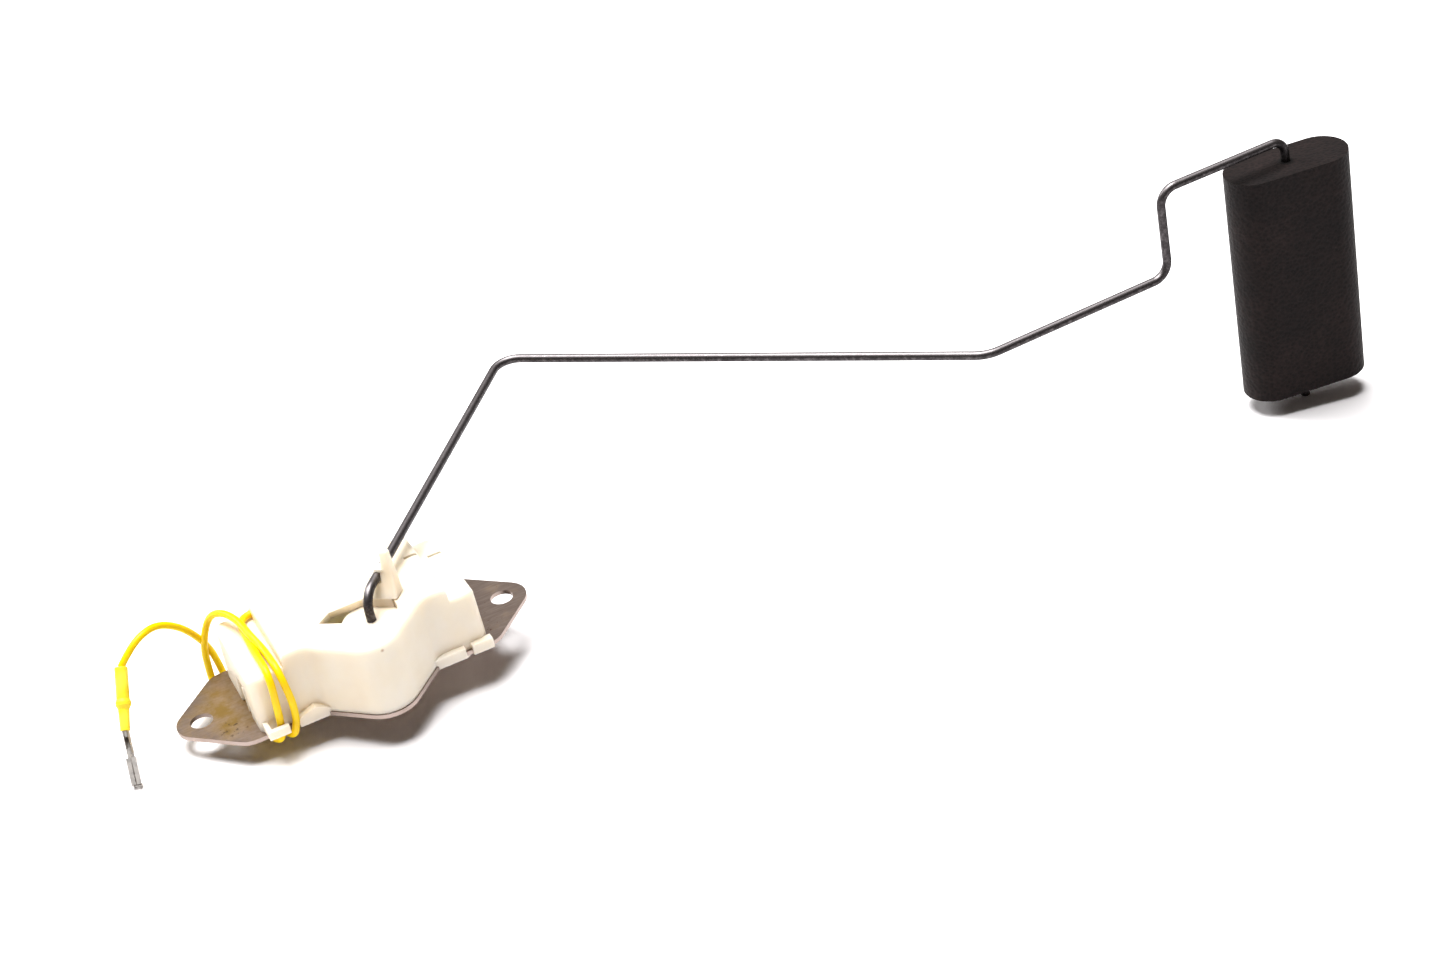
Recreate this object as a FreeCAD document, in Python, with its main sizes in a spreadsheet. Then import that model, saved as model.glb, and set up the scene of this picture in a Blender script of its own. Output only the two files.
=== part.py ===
"""Fuel level sender with a steel mounting plate, a moulded housing, a swing arm, a foam float and one lead.

The frame is the mounting plate's: the origin is midway between its two holes on the underside, X runs along
the row of holes and Z is up, along the pivot. Sizes are millimetres and degrees and are kept in the sheet.
"""
import FreeCAD, Part
import math
import os

import Sketcher
from FreeCAD import Matrix, Placement, Rotation, Vector

SIZES = {
    # Mounting plate
    "plate_thickness": 1.2,
    "hole_spacing": 86.0,
    "hole_radius": 3.1,
    "tip_radius": 6.8,
    "side_angle": 45.0,
    "band_half_width": 17.4,
    "nose_x": 2.35,
    "nose_y": -21.0,
    "nose_overlap": 2.5,
    "plate_nose_radius": 8.95,
    "shoulder_fillet": 6.0,
    "neck_fillet": 1.0,
    # Housing
    "cover_left": 31.0,
    "cover_right": 33.2,
    "cover_half_width": 16.5,
    "cover_step": 3.9,
    "cover_top_height": 20.4,
    "block_left": 21.2,
    "block_right": 26.0,
    "cover_nose_radius": 8.6,
    "cover_neck_fillet": 5.0,
    "cover_draft_angle": 1.5,
    "cover_wall": 2.0,
    "cover_corner_fillet": 2.5,
    "cover_edge_fillet": 1.8,
    "window_left": 12.8,
    "window_middle": 9.1,
    "window_back": 7.3,
    "window_side_back": 4.3,
    "window_near": 6.5,
    "window_near_drop": 0.3,
    "lip_thickness": 1.5,
    "lip_height": 1.8,
    "lip_root": 0.5,
    "wedge_nip": 0.4,
    "lip_gap": 0.1,
    "lip_slot_left": 21.2,
    "wedge_flat_end": 12.3,
    "wedge_end": 11.0,
    "wedge_peak": 16.3,
    "wedge_height": 3.2,
    "hook_start": 30.2,
    "hook_width": 5.8,
    "hook_inner_gap": 2.8,
    "hook_thickness": 1.3,
    "hook_lift": 0.8,
    "hook_height": 2.4,
    "right_lip_start": 16.0,
    "right_lip_slot": 25.9,
    "right_lip_slot_width": 2.0,
    "right_lip_end": 33.7,
    "peg_radius": 1.5,
    "peg_head_radius": 2.6,
    "peg_head_height": 1.3,
    "peg_boss_radius": 2.2,
    "peg_boss_height": 7.0,
    "peg_x": 25.5,
    "peg_left_x": 17.5,
    "peg_y": 13.9,
    "recess_depth": 0.9,
    "recess_y": -3.0,
    "rib_y": -4.0,
    "rib_proud": 0.3,
    "recess_width": 9.0,
    "recess_height": 8.5,
    "rib_width": 2.2,
    "slot_length": 3.8,
    "slot_width": 1.1,
    "slot_one_x": 23.0,
    "slot_one_y": 4.6,
    "slot_two_x": 29.8,
    "slot_two_y": 6.8,
    "stop_width": 2.0,
    "stop_radius": 9.8,
    "stop_length": 2.4,
    "stop_margin": 0.8,
    "lead_exit_y": 11.6,
    "lead_lift": 0.2,
    "lead_hole_gap": 0.1,
    # Pivot and rotor
    "pivot_x": 5.2,
    "pivot_y": -13.3,
    "opening_radius": 7.4,
    "disc_radius": 8.0,
    "disc_thickness": 3.2,
    "disc_play": 0.3,
    "boss_radius": 3.4,
    "lug_radius": 10.5,
    "lug_half_width": 1.6,
    "swing_half_angle": 36.0,
    "tower_front": 5.6,
    "tower_back": 11.9,
    "tower_right": 4.7,
    "tower_left": 2.6,
    "tower_round": 0.8,
    "tower_clearance": 0.4,
    "foot_right": 5.8,
    "foot_back": 10.6,
    "lip_front": 9.0,
    "lip_thickness": 0.9,
    "lip_reach": 0.4,
    "jaw_left": 2.3,
    "jaw_drop": 0.4,
    "top_front": 10.0,
    "top_right": 4.2,
    "top_left": 1.7,
    "tower_rise": 7.1,
    "crown_round": 0.5,
    "grip_gap": 0.02,
    # Arm wire
    "wire_radius": 1.25,
    "arm_rise": 5.1,
    "arm_angle": 50.5,
    "first_run": 114.3,
    "first_turn_angle": 91.2,
    "second_run": 143.5,
    "second_turn_angle": 43.5,
    "third_run": 59.7,
    "riser": 26.7,
    "third_turn_angle": -1.0,
    "top_run": 41.2,
    "tip_length": 6.3,
    "pivot_bend": 5.0,
    "elbow_bend": 6.0,
    "middle_bend": 9.0,
    "riser_bend": 5.0,
    "float_bend": 4.0,
    "wire_below_plate": 1.4,
    # Bush
    "bush_clearance": 0.05,
    "bush_radius": 3.0,
    "bush_flange_radius": 5.0,
    "bush_flange": 1.0,
    "bush_rivet_radius": 4.0,
    "bush_rivet": 0.8,
    # Resistor
    "card_radius": 9.6,
    "card_thickness": 1.2,
    "card_start_angle": 172.0,
    "card_sweep_angle": 117.0,
    "card_foot_angle": 20.0,
    "card_foot_top": 2.6,
    "winding_thickness": 0.25,
    "eyelet_radius": 0.9,
    "eyelet_bore": 0.5,
    "eyelet_flange": 0.25,
    "eyelet_flange_radius": 1.44,
    "eyelet_height": 9.0,
    # Wiper
    "blade_thickness": 0.35,
    "blade_half_width": 2.6,
    "blade_ring_radius": 5.9,
    "blade_inner_radius": 3.5,
    "contact_radius": 0.9,
    "contact_height": 0.7,
    "running_gap": 0.3,
    "rivet_radius": 0.6,
    "rivet_head_radius": 1.0,
    "rivet_head": 0.4,
    "rivet_offset": 4.7,
    "rivet_depth": 1.6,
    # Ground spring
    "spring_thickness": 0.3,
    "spring_half_width": 1.5,
    "spring_run": 13.0,
    "spring_riser": 9.4,
    "spring_tip": 4.1,
    "spring_angle": 70.0,
    "spring_rivet_radius": 1.2,
    "spring_rivet_head": 0.6,
    "spring_head_radius": 1.8,
    "spring_tail_radius": 2.0,
    # Float
    "float_half_length": 18.4,
    "float_half_width": 8.25,
    "float_height": 71.3,
    "float_clearance": 0.08,
    "float_top_gap": 6.7,
    "float_angle": -7.7,
    "retainer_radius": 3.6,
    "retainer_thickness": 0.5,
    # Lead, sleeve and terminal
    "lead_radius": 1.0,
    "sleeve_radius": 1.75,
    "bulge_sleeve_radius": 2.05,
    "sleeve_end_radius": 1.3,
    "sleeve_mouth_radius": 1.645,
    "sleeve_waist_radius": 1.505,
    "barrel_length": 6.2,
    "barrel_outer": 1.05,
    "socket_length": 7.2,
    "socket_width": 2.6,
    "socket_depth": 2.2,
    "terminal_wall": 0.3,
    "terminal_neck": 1.2,
    "lance_length": 2.6,
    "lance_width": 0.65,
    "mouth_start": 1.86,
    "mouth_length": 3.844,
    "neck_width": 1.56,
    "seam_inset": 0.45,
    "tag_headroom": 6.0,
    "tag_thickness": 0.4,
    "tag_seat": 0.0,
    "tag_half_width": 1.4,
}

# How near two places are taken as one, and how far a cut reaches past the face that it opens.
TOUCH = 0.01
THROUGH = 1
# Least slope of an edge that counts as steep.
STEEP = 0.97
# Most of a shorter run that one bend of the lead may use.
BEND_SHARE = 0.45

doc = FreeCAD.newDocument("FuelLevelSender")
sheet = doc.addObject("Spreadsheet::Sheet", "sizes")
for row, (alias, value) in enumerate(SIZES.items(), start=1):
    sheet.set(f"A{row}", alias)
    sheet.set(f"B{row}", str(value))
    sheet.setAlias(f"B{row}", alias)
doc.recompute()

PARTS = []


def value(expression):
    """Evaluate an expression of sheet sizes, such as 'sizes.cover_wall * 2'."""
    result = sheet.evalExpression(expression)
    return float(getattr(result, "Value", result))


def size(alias):
    """Read one size from the sheet."""
    return value(f"sizes.{alias}")


def keep(item, label):
    """Name a finished sub-part and put it on the list that is written out."""
    item.Label = label
    PARTS.append(item)
    return item


# Sketch and feature helpers

def new_body(name):
    """A body of its own for one moulded, stamped or cut piece."""
    return doc.addObject("PartDesign::Body", name)


def new_sketch(body, name, height="0", role="XY_Plane"):
    """A sketch on one of the body's own origin planes, lifted by an expression."""
    plane = next(item for item in body.Origin.OriginFeatures if item.Role == role)
    sketch = body.newObject("Sketcher::SketchObject", name)
    sketch.AttachmentSupport = [(plane, "")]
    sketch.MapMode = "FlatFace"
    sketch.setExpression("AttachmentOffset.Base.z", height)
    return sketch


def bind(sketch, constraint, name, expression):
    """Add a driving constraint whose value follows the sheet."""
    index = sketch.addConstraint(constraint)
    sketch.renameConstraint(index, name)
    sketch.setExpression(f"Constraints.{name}", expression)


def polygon(sketch, corners):
    """A closed outline whose corners are pairs of expressions."""
    points = [Vector(value(x), value(y), 0) for x, y in corners]
    count = len(points)
    first = sketch.GeometryCount
    for index in range(count):
        sketch.addGeometry(Part.LineSegment(points[index], points[(index + 1) % count]), False)
    for index in range(count):
        following = first + (index + 1) % count
        sketch.addConstraint(Sketcher.Constraint("Coincident", first + index, 2, following, 1))
    for index, (x, y) in enumerate(corners):
        edge = first + index
        bind(sketch, Sketcher.Constraint("DistanceX", -1, 1, edge, 1, points[index].x), f"x{edge}", x)
        bind(sketch, Sketcher.Constraint("DistanceY", -1, 1, edge, 1, points[index].y), f"y{edge}", y)


def rectangle(sketch, left, right, front, back):
    """A rectangle between four expressions."""
    polygon(sketch, [(left, front), (right, front), (right, back), (left, back)])


def circle(sketch, x, y, radius):
    """A circle whose centre and radius are expressions."""
    centre = Vector(value(x), value(y), 0)
    index = sketch.addGeometry(Part.Circle(centre, Vector(0, 0, 1), value(radius)), False)
    bind(sketch, Sketcher.Constraint("DistanceX", -1, 1, index, 3, centre.x), f"cx{index}", x)
    bind(sketch, Sketcher.Constraint("DistanceY", -1, 1, index, 3, centre.y), f"cy{index}", y)
    bind(sketch, Sketcher.Constraint("Radius", index, value(radius)), f"r{index}", radius)


def pad(body, name, sketch, length, draft="0", down=False):
    """Add material from a sketch, narrowing by the draft angle."""
    feature = body.newObject("PartDesign::Pad", name)
    feature.Profile = sketch
    feature.Reversed = down
    feature.setExpression("Length", length)
    feature.setExpression("TaperAngle", draft)
    return feature


def pocket(body, name, sketch, length, draft="0", up=True):
    """Cut a hollow from a sketch, upwards unless told otherwise."""
    feature = body.newObject("PartDesign::Pocket", name)
    feature.Profile = sketch
    feature.Reversed = up
    feature.setExpression("Length", length)
    feature.setExpression("TaperAngle", draft)
    return feature


def fillet(body, name, base, edges, radius):
    """Round the named edges of a feature."""
    feature = body.newObject("PartDesign::Fillet", name)
    feature.Base = (base, edges)
    feature.setExpression("Radius", radius)
    return feature


def edges_where(feature, test):
    """Names of a feature's edges that pass a test on the edge."""
    doc.recompute()
    return [f"Edge{index}" for index, edge in enumerate(feature.Shape.Edges, start=1) if test(edge)]


def is_upright(edge):
    """True for a straight edge that runs nearly along Z."""
    if not isinstance(edge.Curve, Part.Line):
        return False
    return abs(edge.Curve.Direction.z) > 0.98


def place(item, x="0", y="0", z="0", angle="0"):
    """Bind a sub-part's position, and its turn about Z, to the sheet."""
    item.Placement = Placement(Vector(0, 0, 0), Rotation(Vector(0, 0, 1), 1.0))
    item.setExpression("Placement.Base.x", x)
    item.setExpression("Placement.Base.y", y)
    item.setExpression("Placement.Base.z", z)
    item.setExpression("Placement.Rotation.Angle", angle)


def shape_part(name, shape, placement=None):
    """A sub-part whose shape is worked out here, with its placement set after it."""
    feature = doc.addObject("Part::Feature", name)
    feature.Shape = shape
    if placement:
        feature.Placement = placement
    return keep(feature, name)


# Wires and cords

def corner_arcs(points, radii):
    """Straight runs joined by tangent arcs, with one radius for each inner point."""
    edges = []
    start = points[0]
    for before, corner, after, radius in zip(points, points[1:], points[2:], radii):
        back = (before - corner).normalize()
        ahead = (after - corner).normalize()
        half_turn = (math.pi - back.getAngle(ahead)) / 2
        reach = radius * math.tan(half_turn)
        entry = corner + back * reach
        leave = corner + ahead * reach
        middle_way = (back + ahead).normalize()
        depth = radius / math.cos(half_turn) - radius
        if (entry - start).Length > 1e-6:
            edges.append(Part.LineSegment(start, entry).toShape())
        edges.append(Part.Arc(entry, corner + middle_way * depth, leave).toShape())
        start = leave
    edges.append(Part.LineSegment(start, points[-1]).toShape())
    return Part.Wire(edges)


def round_sweep(path, radius):
    """A round bar or tube that follows a path of runs and arcs."""
    first = path.Edges[0]
    heading = first.tangentAt(first.FirstParameter)
    section = Part.Wire(Part.Circle(path.Vertexes[0].Point, heading, radius).toShape())
    return path.makePipeShell([section], True, False)


def cord_radii(points):
    """The largest arc that each pair of runs allows."""
    radii = []
    for before, corner, after in zip(points, points[1:], points[2:]):
        back = before - corner
        ahead = after - corner
        half_turn = (math.pi - back.getAngle(ahead)) / 2
        radii.append(BEND_SHARE * min(back.Length, ahead.Length) / math.tan(half_turn))
    return radii


def heading_vector(angle):
    """A unit vector in the plane of the plate."""
    return Vector(math.cos(math.radians(angle)), math.sin(math.radians(angle)), 0)


# Mounting plate

def nose_outline(sketch, radius, back, blunt=False):
    """The bulge over the pivot: two 45 degree sides that meet in front, or a blunt end within the nose."""
    reach = f"({radius}) * sqrt(2)"
    tip = [("sizes.nose_x", f"sizes.nose_y - {reach}")]
    if blunt:
        half = f"({radius}) * (sqrt(2) - 1)"
        tip = [(f"sizes.nose_x - {half}", f"sizes.nose_y - ({radius})"),
               (f"sizes.nose_x + {half}", f"sizes.nose_y - ({radius})")]
    spread = f"(({back}) - sizes.nose_y + {reach})"
    polygon(sketch, tip + [(f"sizes.nose_x + {spread}", back), (f"sizes.nose_x - {spread}", back)])


def foremost_edge(feature):
    """The upright edge that stands furthest to the front."""
    doc.recompute()
    edges = feature.Shape.Edges
    steep = [index for index, edge in enumerate(edges, start=1) if is_steep(edge) or is_upright(edge)]
    return [f"Edge{min(steep, key=lambda index: edges[index - 1].CenterOfMass.y)}"]


def is_steep(edge):
    """True for an edge between two corners that climbs nearly straight up."""
    if len(edge.Vertexes) != 2:
        return False
    run = edge.Vertexes[1].Point - edge.Vertexes[0].Point
    return run.Length > 1 and abs(run.z) / run.Length > STEEP


def climbs_above(edge, floor):
    """True for an edge that starts above a level and rises more than it runs."""
    heights = [vertex.Z for vertex in edge.Vertexes]
    return min(heights) > floor and max(heights) - min(heights) > edge.Length / 2


def make_plate():
    """Stamped plate: 45 degree ends round the holes, a band and a bulge under the front of the housing."""
    body = new_body("PlateBody")
    tip_x = "sizes.hole_spacing / 2 + sizes.tip_radius * cos(sizes.side_angle)"
    tip_y = "sizes.tip_radius * sin(sizes.side_angle)"
    shoulder_x = ("(sizes.hole_spacing / 2 * cos(sizes.side_angle) + sizes.tip_radius"
                  " - sizes.band_half_width * sin(sizes.side_angle)) / cos(sizes.side_angle)")
    band_y = "sizes.band_half_width"
    outline = new_sketch(body, "PlateOutline")
    polygon(outline, [
        (tip_x, f"-({tip_y})"), (tip_x, tip_y), (shoulder_x, band_y), (f"-({shoulder_x})", band_y),
        (f"-({tip_x})", tip_y), (f"-({tip_x})", f"-({tip_y})"), (f"-({shoulder_x})", f"-{band_y}"),
        (shoulder_x, f"-{band_y}"),
    ])
    sheet_pad = pad(body, "PlateSheet", outline, "sizes.plate_thickness")
    shoulders = edges_where(sheet_pad, lambda edge: is_upright(edge)
                            and abs(abs(edge.CenterOfMass.y) - size("band_half_width")) < TOUCH)
    fillet(body, "PlateShoulders", sheet_pad, shoulders, "sizes.shoulder_fillet")
    for side, sign in (("Left", "-"), ("Right", "")):
        tip = new_sketch(body, f"Plate{side}Tip")
        circle(tip, f"{sign}sizes.hole_spacing / 2", "0", "sizes.tip_radius")
        pad(body, f"Plate{side}End", tip, "sizes.plate_thickness")
    bulge = new_sketch(body, "PlateBulge")
    nose_outline(bulge, "sizes.plate_nose_radius", "-sizes.band_half_width + sizes.nose_overlap")
    bulge_pad = pad(body, "PlateBulgePad", bulge, "sizes.plate_thickness")
    bulge_pad = fillet(body, "PlateNose", bulge_pad, foremost_edge(bulge_pad), "sizes.plate_nose_radius")
    necks = edges_where(bulge_pad, lambda edge: is_upright(edge)
                        and abs(edge.CenterOfMass.y + size("band_half_width")) < TOUCH
                        and abs(edge.CenterOfMass.x - size("nose_x")) < size("band_half_width") + 1)
    fillet(body, "PlateNecks", bulge_pad, necks, "sizes.neck_fillet")
    holes = new_sketch(body, "PlateHoles")
    circle(holes, "-sizes.hole_spacing / 2", "0", "sizes.hole_radius")
    circle(holes, "sizes.hole_spacing / 2", "0", "sizes.hole_radius")
    circle(holes, "sizes.pivot_x", "sizes.pivot_y", "sizes.bush_radius")
    for x, y in PEG_PLACES:
        circle(holes, x, y, "sizes.peg_radius")
    circle(holes, *SPRING_RIVET_PLACE, "sizes.spring_rivet_radius")
    pocket(body, "PlatePiercing", holes, "sizes.plate_thickness")
    return keep(body, "mounting_plate")


PEG_PLACES = [
    ("-sizes.peg_x", "sizes.peg_y"), ("sizes.peg_x", "sizes.peg_y"),
    ("-sizes.peg_left_x", "-sizes.peg_y"), ("sizes.peg_x", "-sizes.peg_y"),
]
SPRING_RIVET_PLACE = (
    "sizes.pivot_x + sizes.spring_run * cos(sizes.spring_angle)",
    "sizes.pivot_y + sizes.spring_run * sin(sizes.spring_angle)",
)


# Housing

SEAT = "sizes.plate_thickness"
END_HEIGHT = "(sizes.cover_top_height - sizes.cover_step)"
COVER_TOP = "sizes.plate_thickness + sizes.cover_top_height"
COVER_CEILING = "(sizes.plate_thickness + sizes.cover_top_height - sizes.cover_wall)"
LIP_FACE = "sizes.band_half_width + sizes.lip_gap"


def cover_shell(body):
    """Low ends, a taller middle and a nose in front of the pivot, with rounded edges, then hollowed."""
    draft = "-sizes.cover_draft_angle"
    side = "sizes.cover_half_width"
    ends = new_sketch(body, "EndsOutline", SEAT)
    rectangle(ends, "-sizes.cover_left", "sizes.cover_right", f"-{side}", side)
    solid = pad(body, "Ends", ends, END_HEIGHT, draft)
    solid = fillet(body, "EndCorners", solid, edges_where(solid, is_steep), "sizes.cover_corner_fillet")
    end_top = value(f"{SEAT} + {END_HEIGHT}")
    rim = edges_where(solid, lambda edge: abs(edge.CenterOfMass.z - end_top) < TOUCH)
    fillet(body, "EndRim", solid, rim, "sizes.cover_edge_fillet")
    middle = new_sketch(body, "MiddleOutline", SEAT)
    rectangle(middle, "-sizes.block_left", "sizes.block_right", f"-{side}", side)
    pad(body, "Middle", middle, "sizes.cover_top_height", draft)
    nose = new_sketch(body, "NoseOutline", SEAT)
    nose_outline(nose, "sizes.cover_nose_radius", "-sizes.cover_half_width + sizes.nose_overlap")
    solid = pad(body, "Nose", nose, "sizes.cover_top_height", draft)
    solid = fillet(body, "NoseRound", solid, foremost_edge(solid), "sizes.cover_nose_radius")
    necks = edges_where(solid, lambda edge: is_steep(edge)
                        and abs(edge.CenterOfMass.y + size("cover_half_width")) < 1
                        and abs(edge.CenterOfMass.x - size("nose_x")) < size("cover_half_width") + 2)
    solid = fillet(body, "NoseNecks", solid, necks, "sizes.cover_neck_fillet")
    top = value(COVER_TOP)
    rim = edges_where(solid, lambda edge: abs(edge.CenterOfMass.z - top) < TOUCH)
    fillet(body, "TopRim", solid, rim, "sizes.cover_edge_fillet")
    wall = "sizes.cover_wall"
    inner = f"{side} - {wall}"
    for name, left, right, height in (
        ("Ends", "sizes.cover_left", "sizes.cover_right", END_HEIGHT),
        ("Middle", "sizes.block_left", "sizes.block_right", "sizes.cover_top_height"),
    ):
        hollow = new_sketch(body, f"{name}Hollow", SEAT)
        rectangle(hollow, f"-{left} + {wall}", f"{right} - {wall}", f"-({inner})", inner)
        pocket(body, f"{name}Cavity", hollow, f"{height} - {wall}", draft)
    hollow = new_sketch(body, "NoseHollow", SEAT)
    nose_outline(hollow, f"sizes.cover_nose_radius - {wall}",
                 "-sizes.cover_half_width + 2 * sizes.nose_overlap", blunt=True)
    pocket(body, "NoseCavity", hollow, f"sizes.cover_top_height - {wall}", draft)


def cover_openings(body):
    """Round opening that holds the rotor's disc down, the window beside it, and two slots at the back."""
    opening = new_sketch(body, "PivotOpening", SEAT)
    circle(opening, "sizes.pivot_x", "sizes.pivot_y", "sizes.opening_radius")
    pocket(body, "PivotOpeningCut", opening, "sizes.cover_top_height + sizes.cover_wall")
    window = new_sketch(body, "Window", SEAT)
    back = "sizes.pivot_y + sizes.window_back"
    polygon(window, [
        ("sizes.pivot_x", back), ("sizes.pivot_x - sizes.window_middle", back),
        ("sizes.pivot_x - sizes.window_left", "sizes.pivot_y + sizes.window_side_back"),
        ("sizes.pivot_x - sizes.window_near", "sizes.pivot_y - sizes.window_near_drop"),
    ])
    pocket(body, "WindowCut", window, "sizes.cover_top_height + sizes.cover_wall")
    slots = new_sketch(body, "BackSlots", SEAT)
    for name in ("one", "two"):
        x = f"sizes.slot_{name}_x"
        y = f"sizes.slot_{name}_y"
        rectangle(slots, f"{x} - sizes.slot_length / 2", f"{x} + sizes.slot_length / 2",
                  f"{y} - sizes.slot_width / 2", f"{y} + sizes.slot_width / 2")
    pocket(body, "BackSlotCuts", slots, "sizes.cover_top_height + sizes.cover_wall")
    exit_hole = new_sketch(body, "LeadHole", "-sizes.block_left - sizes.cover_wall", "YZ_Plane")
    circle(exit_hole, "sizes.lead_exit_y", f"{SEAT} + {END_HEIGHT} + sizes.lead_radius + sizes.lead_lift",
           "sizes.lead_radius + sizes.lead_hole_gap")
    pocket(body, "LeadHoleCut", exit_hole, "3 * sizes.cover_wall")


def cover_end_recess(body):
    """Shallow recess in the left end face, with an upright round-nosed rib left standing in it."""
    recess = new_sketch(body, "EndRecess", "-sizes.cover_left - sizes.cover_wall", "YZ_Plane")
    middle = "sizes.recess_y"
    half = "sizes.recess_width / 2"
    rectangle(recess, f"{middle} - {half}", f"{middle} + {half}", f"{SEAT} - {THROUGH}",
              f"{SEAT} + sizes.recess_height")
    pocket(body, "EndRecessCut", recess, "sizes.cover_wall + sizes.recess_depth")
    rib = new_sketch(body, "EndRib", SEAT)
    circle(rib, "-sizes.cover_left + sizes.recess_depth + sizes.rib_proud", "sizes.rib_y",
           "sizes.rib_width / 2")
    pad(body, "EndRibPad", rib, f"sizes.recess_height - {THROUGH}")


def cover_lips(body):
    """Lips over the plate's front edge: two on the right, a wedge on the left, and the hook for the lead."""
    foot = "sizes.lip_gap"
    face = f"-({LIP_FACE} + sizes.lip_thickness)"
    root = "-sizes.cover_half_width + sizes.lip_root"
    lips = new_sketch(body, "RightLips", foot)
    for left, right in (
        ("sizes.right_lip_start", "sizes.right_lip_slot"),
        ("sizes.right_lip_slot + sizes.right_lip_slot_width", "sizes.right_lip_end"),
    ):
        rectangle(lips, left, right, face, root)
    pad(body, "RightLipPads", lips, "sizes.plate_thickness + sizes.lip_height - sizes.lip_gap")
    wedge = new_sketch(body, "WedgeLip", "sizes.cover_half_width - sizes.lip_root", "XZ_Plane")
    left = "-sizes.lip_slot_left"
    polygon(wedge, [
        (left, foot), ("-sizes.wedge_flat_end", foot), ("-sizes.wedge_end", SEAT),
        ("-sizes.wedge_end", f"{SEAT} + sizes.wedge_nip"),
        ("-sizes.wedge_peak", f"{SEAT} + sizes.wedge_height"),
        (left, f"{SEAT} + sizes.lip_height - sizes.wedge_nip"),
    ])
    pad(body, "WedgeLipPad", wedge,
        f"{LIP_FACE} + sizes.lip_thickness - sizes.cover_half_width + sizes.lip_root")
    hook = new_sketch(body, "LeadHook", f"{SEAT} + sizes.hook_lift")
    inner = f"-({LIP_FACE} + sizes.hook_inner_gap)"
    outer = f"-({LIP_FACE} + sizes.hook_inner_gap + sizes.hook_thickness)"
    start = "-sizes.hook_start"
    stem = "-sizes.hook_start + sizes.hook_thickness"
    polygon(hook, [
        (start, outer), ("-sizes.hook_start + sizes.hook_width", outer),
        ("-sizes.hook_start + sizes.hook_width", inner), (stem, inner), (stem, root), (start, root),
    ])
    pad(body, "LeadHookPad", hook, "sizes.hook_height")
    seat_cut = new_sketch(body, "PlateSeat", "-sizes.plate_thickness")
    rectangle(seat_cut, "-sizes.cover_left - sizes.cover_wall", "sizes.cover_right + sizes.cover_wall",
              f"-({LIP_FACE})", LIP_FACE)
    pocket(body, "PlateSeatCut", seat_cut, "2 * sizes.plate_thickness")
    bulge_cut = new_sketch(body, "BulgeSeat", "-sizes.plate_thickness")
    nose_outline(bulge_cut, "sizes.plate_nose_radius + sizes.lip_gap",
                 "-sizes.band_half_width + sizes.nose_overlap")
    pocket(body, "BulgeSeatCut", bulge_cut, "2 * sizes.plate_thickness")


def cover_pegs(body):
    """Bosses inside the walls, and the pegs that are staked over under the plate."""
    for name, radius, start, length in (
        ("Boss", "sizes.peg_boss_radius", SEAT, "sizes.peg_boss_height"),
        ("Peg", "sizes.peg_radius - sizes.lip_gap", "0", SEAT),
        ("PegHead", "sizes.peg_head_radius", "-sizes.peg_head_height", "sizes.peg_head_height"),
    ):
        sketch = new_sketch(body, f"{name}Circles", start)
        for x, y in PEG_PLACES:
            circle(sketch, x, y, radius)
        pad(body, f"{name}Pads", sketch, length)


def cover_stops(body):
    """Two ribs under the ceiling that stop the rotor's lug at the ends of its swing."""
    inner = "(sizes.stop_radius - sizes.stop_length / 2)"
    lug_angle = f"asin(sizes.lug_half_width / {inner}) / 1deg"
    rib_angle = f"asin(sizes.stop_width / 2 / {inner}) / 1deg"
    reach = f"(sizes.swing_half_angle + sizes.stop_margin + {lug_angle} + {rib_angle})"
    ribs = new_sketch(body, "StopRibs", "sizes.plate_thickness + sizes.cover_top_height"
                      " - sizes.cover_wall - sizes.disc_play - sizes.disc_thickness")
    for sign in ("-", "+"):
        turn = f"(sizes.arm_angle + 180 {sign} {reach})"
        corners = []
        for along, across in (("-1", "-1"), ("1", "-1"), ("1", "1"), ("-1", "1")):
            radius = f"(sizes.stop_radius + ({along}) * sizes.stop_length / 2)"
            offset = f"(({across}) * sizes.stop_width / 2)"
            corners.append((
                f"sizes.pivot_x + {radius} * cos({turn}) - {offset} * sin({turn})",
                f"sizes.pivot_y + {radius} * sin({turn}) + {offset} * cos({turn})",
            ))
        polygon(ribs, corners)
    pad(body, "StopRibPads", ribs, "sizes.disc_play + sizes.disc_thickness + sizes.cover_wall / 2")


def make_cover():
    """White moulding that stands on the plate, open below."""
    body = new_body("CoverBody")
    cover_shell(body)
    cover_openings(body)
    cover_end_recess(body)
    cover_lips(body)
    cover_pegs(body)
    cover_stops(body)
    return keep(body, "housing_cover")


# Pivot bush and ground spring

def cylinder(name, radius, height, z="0", sweep="360", turn="0"):
    """A cylinder, or a sector of one, on the pivot axis."""
    item = doc.addObject("Part::Cylinder", name)
    item.setExpression("Radius", radius)
    item.setExpression("Height", height)
    item.setExpression("Angle", sweep)
    place(item, "sizes.pivot_x", "sizes.pivot_y", z, turn)
    return item


def fuse(name, *items):
    """Join primitives into one solid."""
    joined = doc.addObject("Part::MultiFuse", name)
    joined.Shapes = list(items)
    joined.Refine = True
    return joined


def cut(name, base, tool):
    """Take one shape away from another."""
    result = doc.addObject("Part::Cut", name)
    result.Base = base
    result.Tool = tool
    return result


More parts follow.
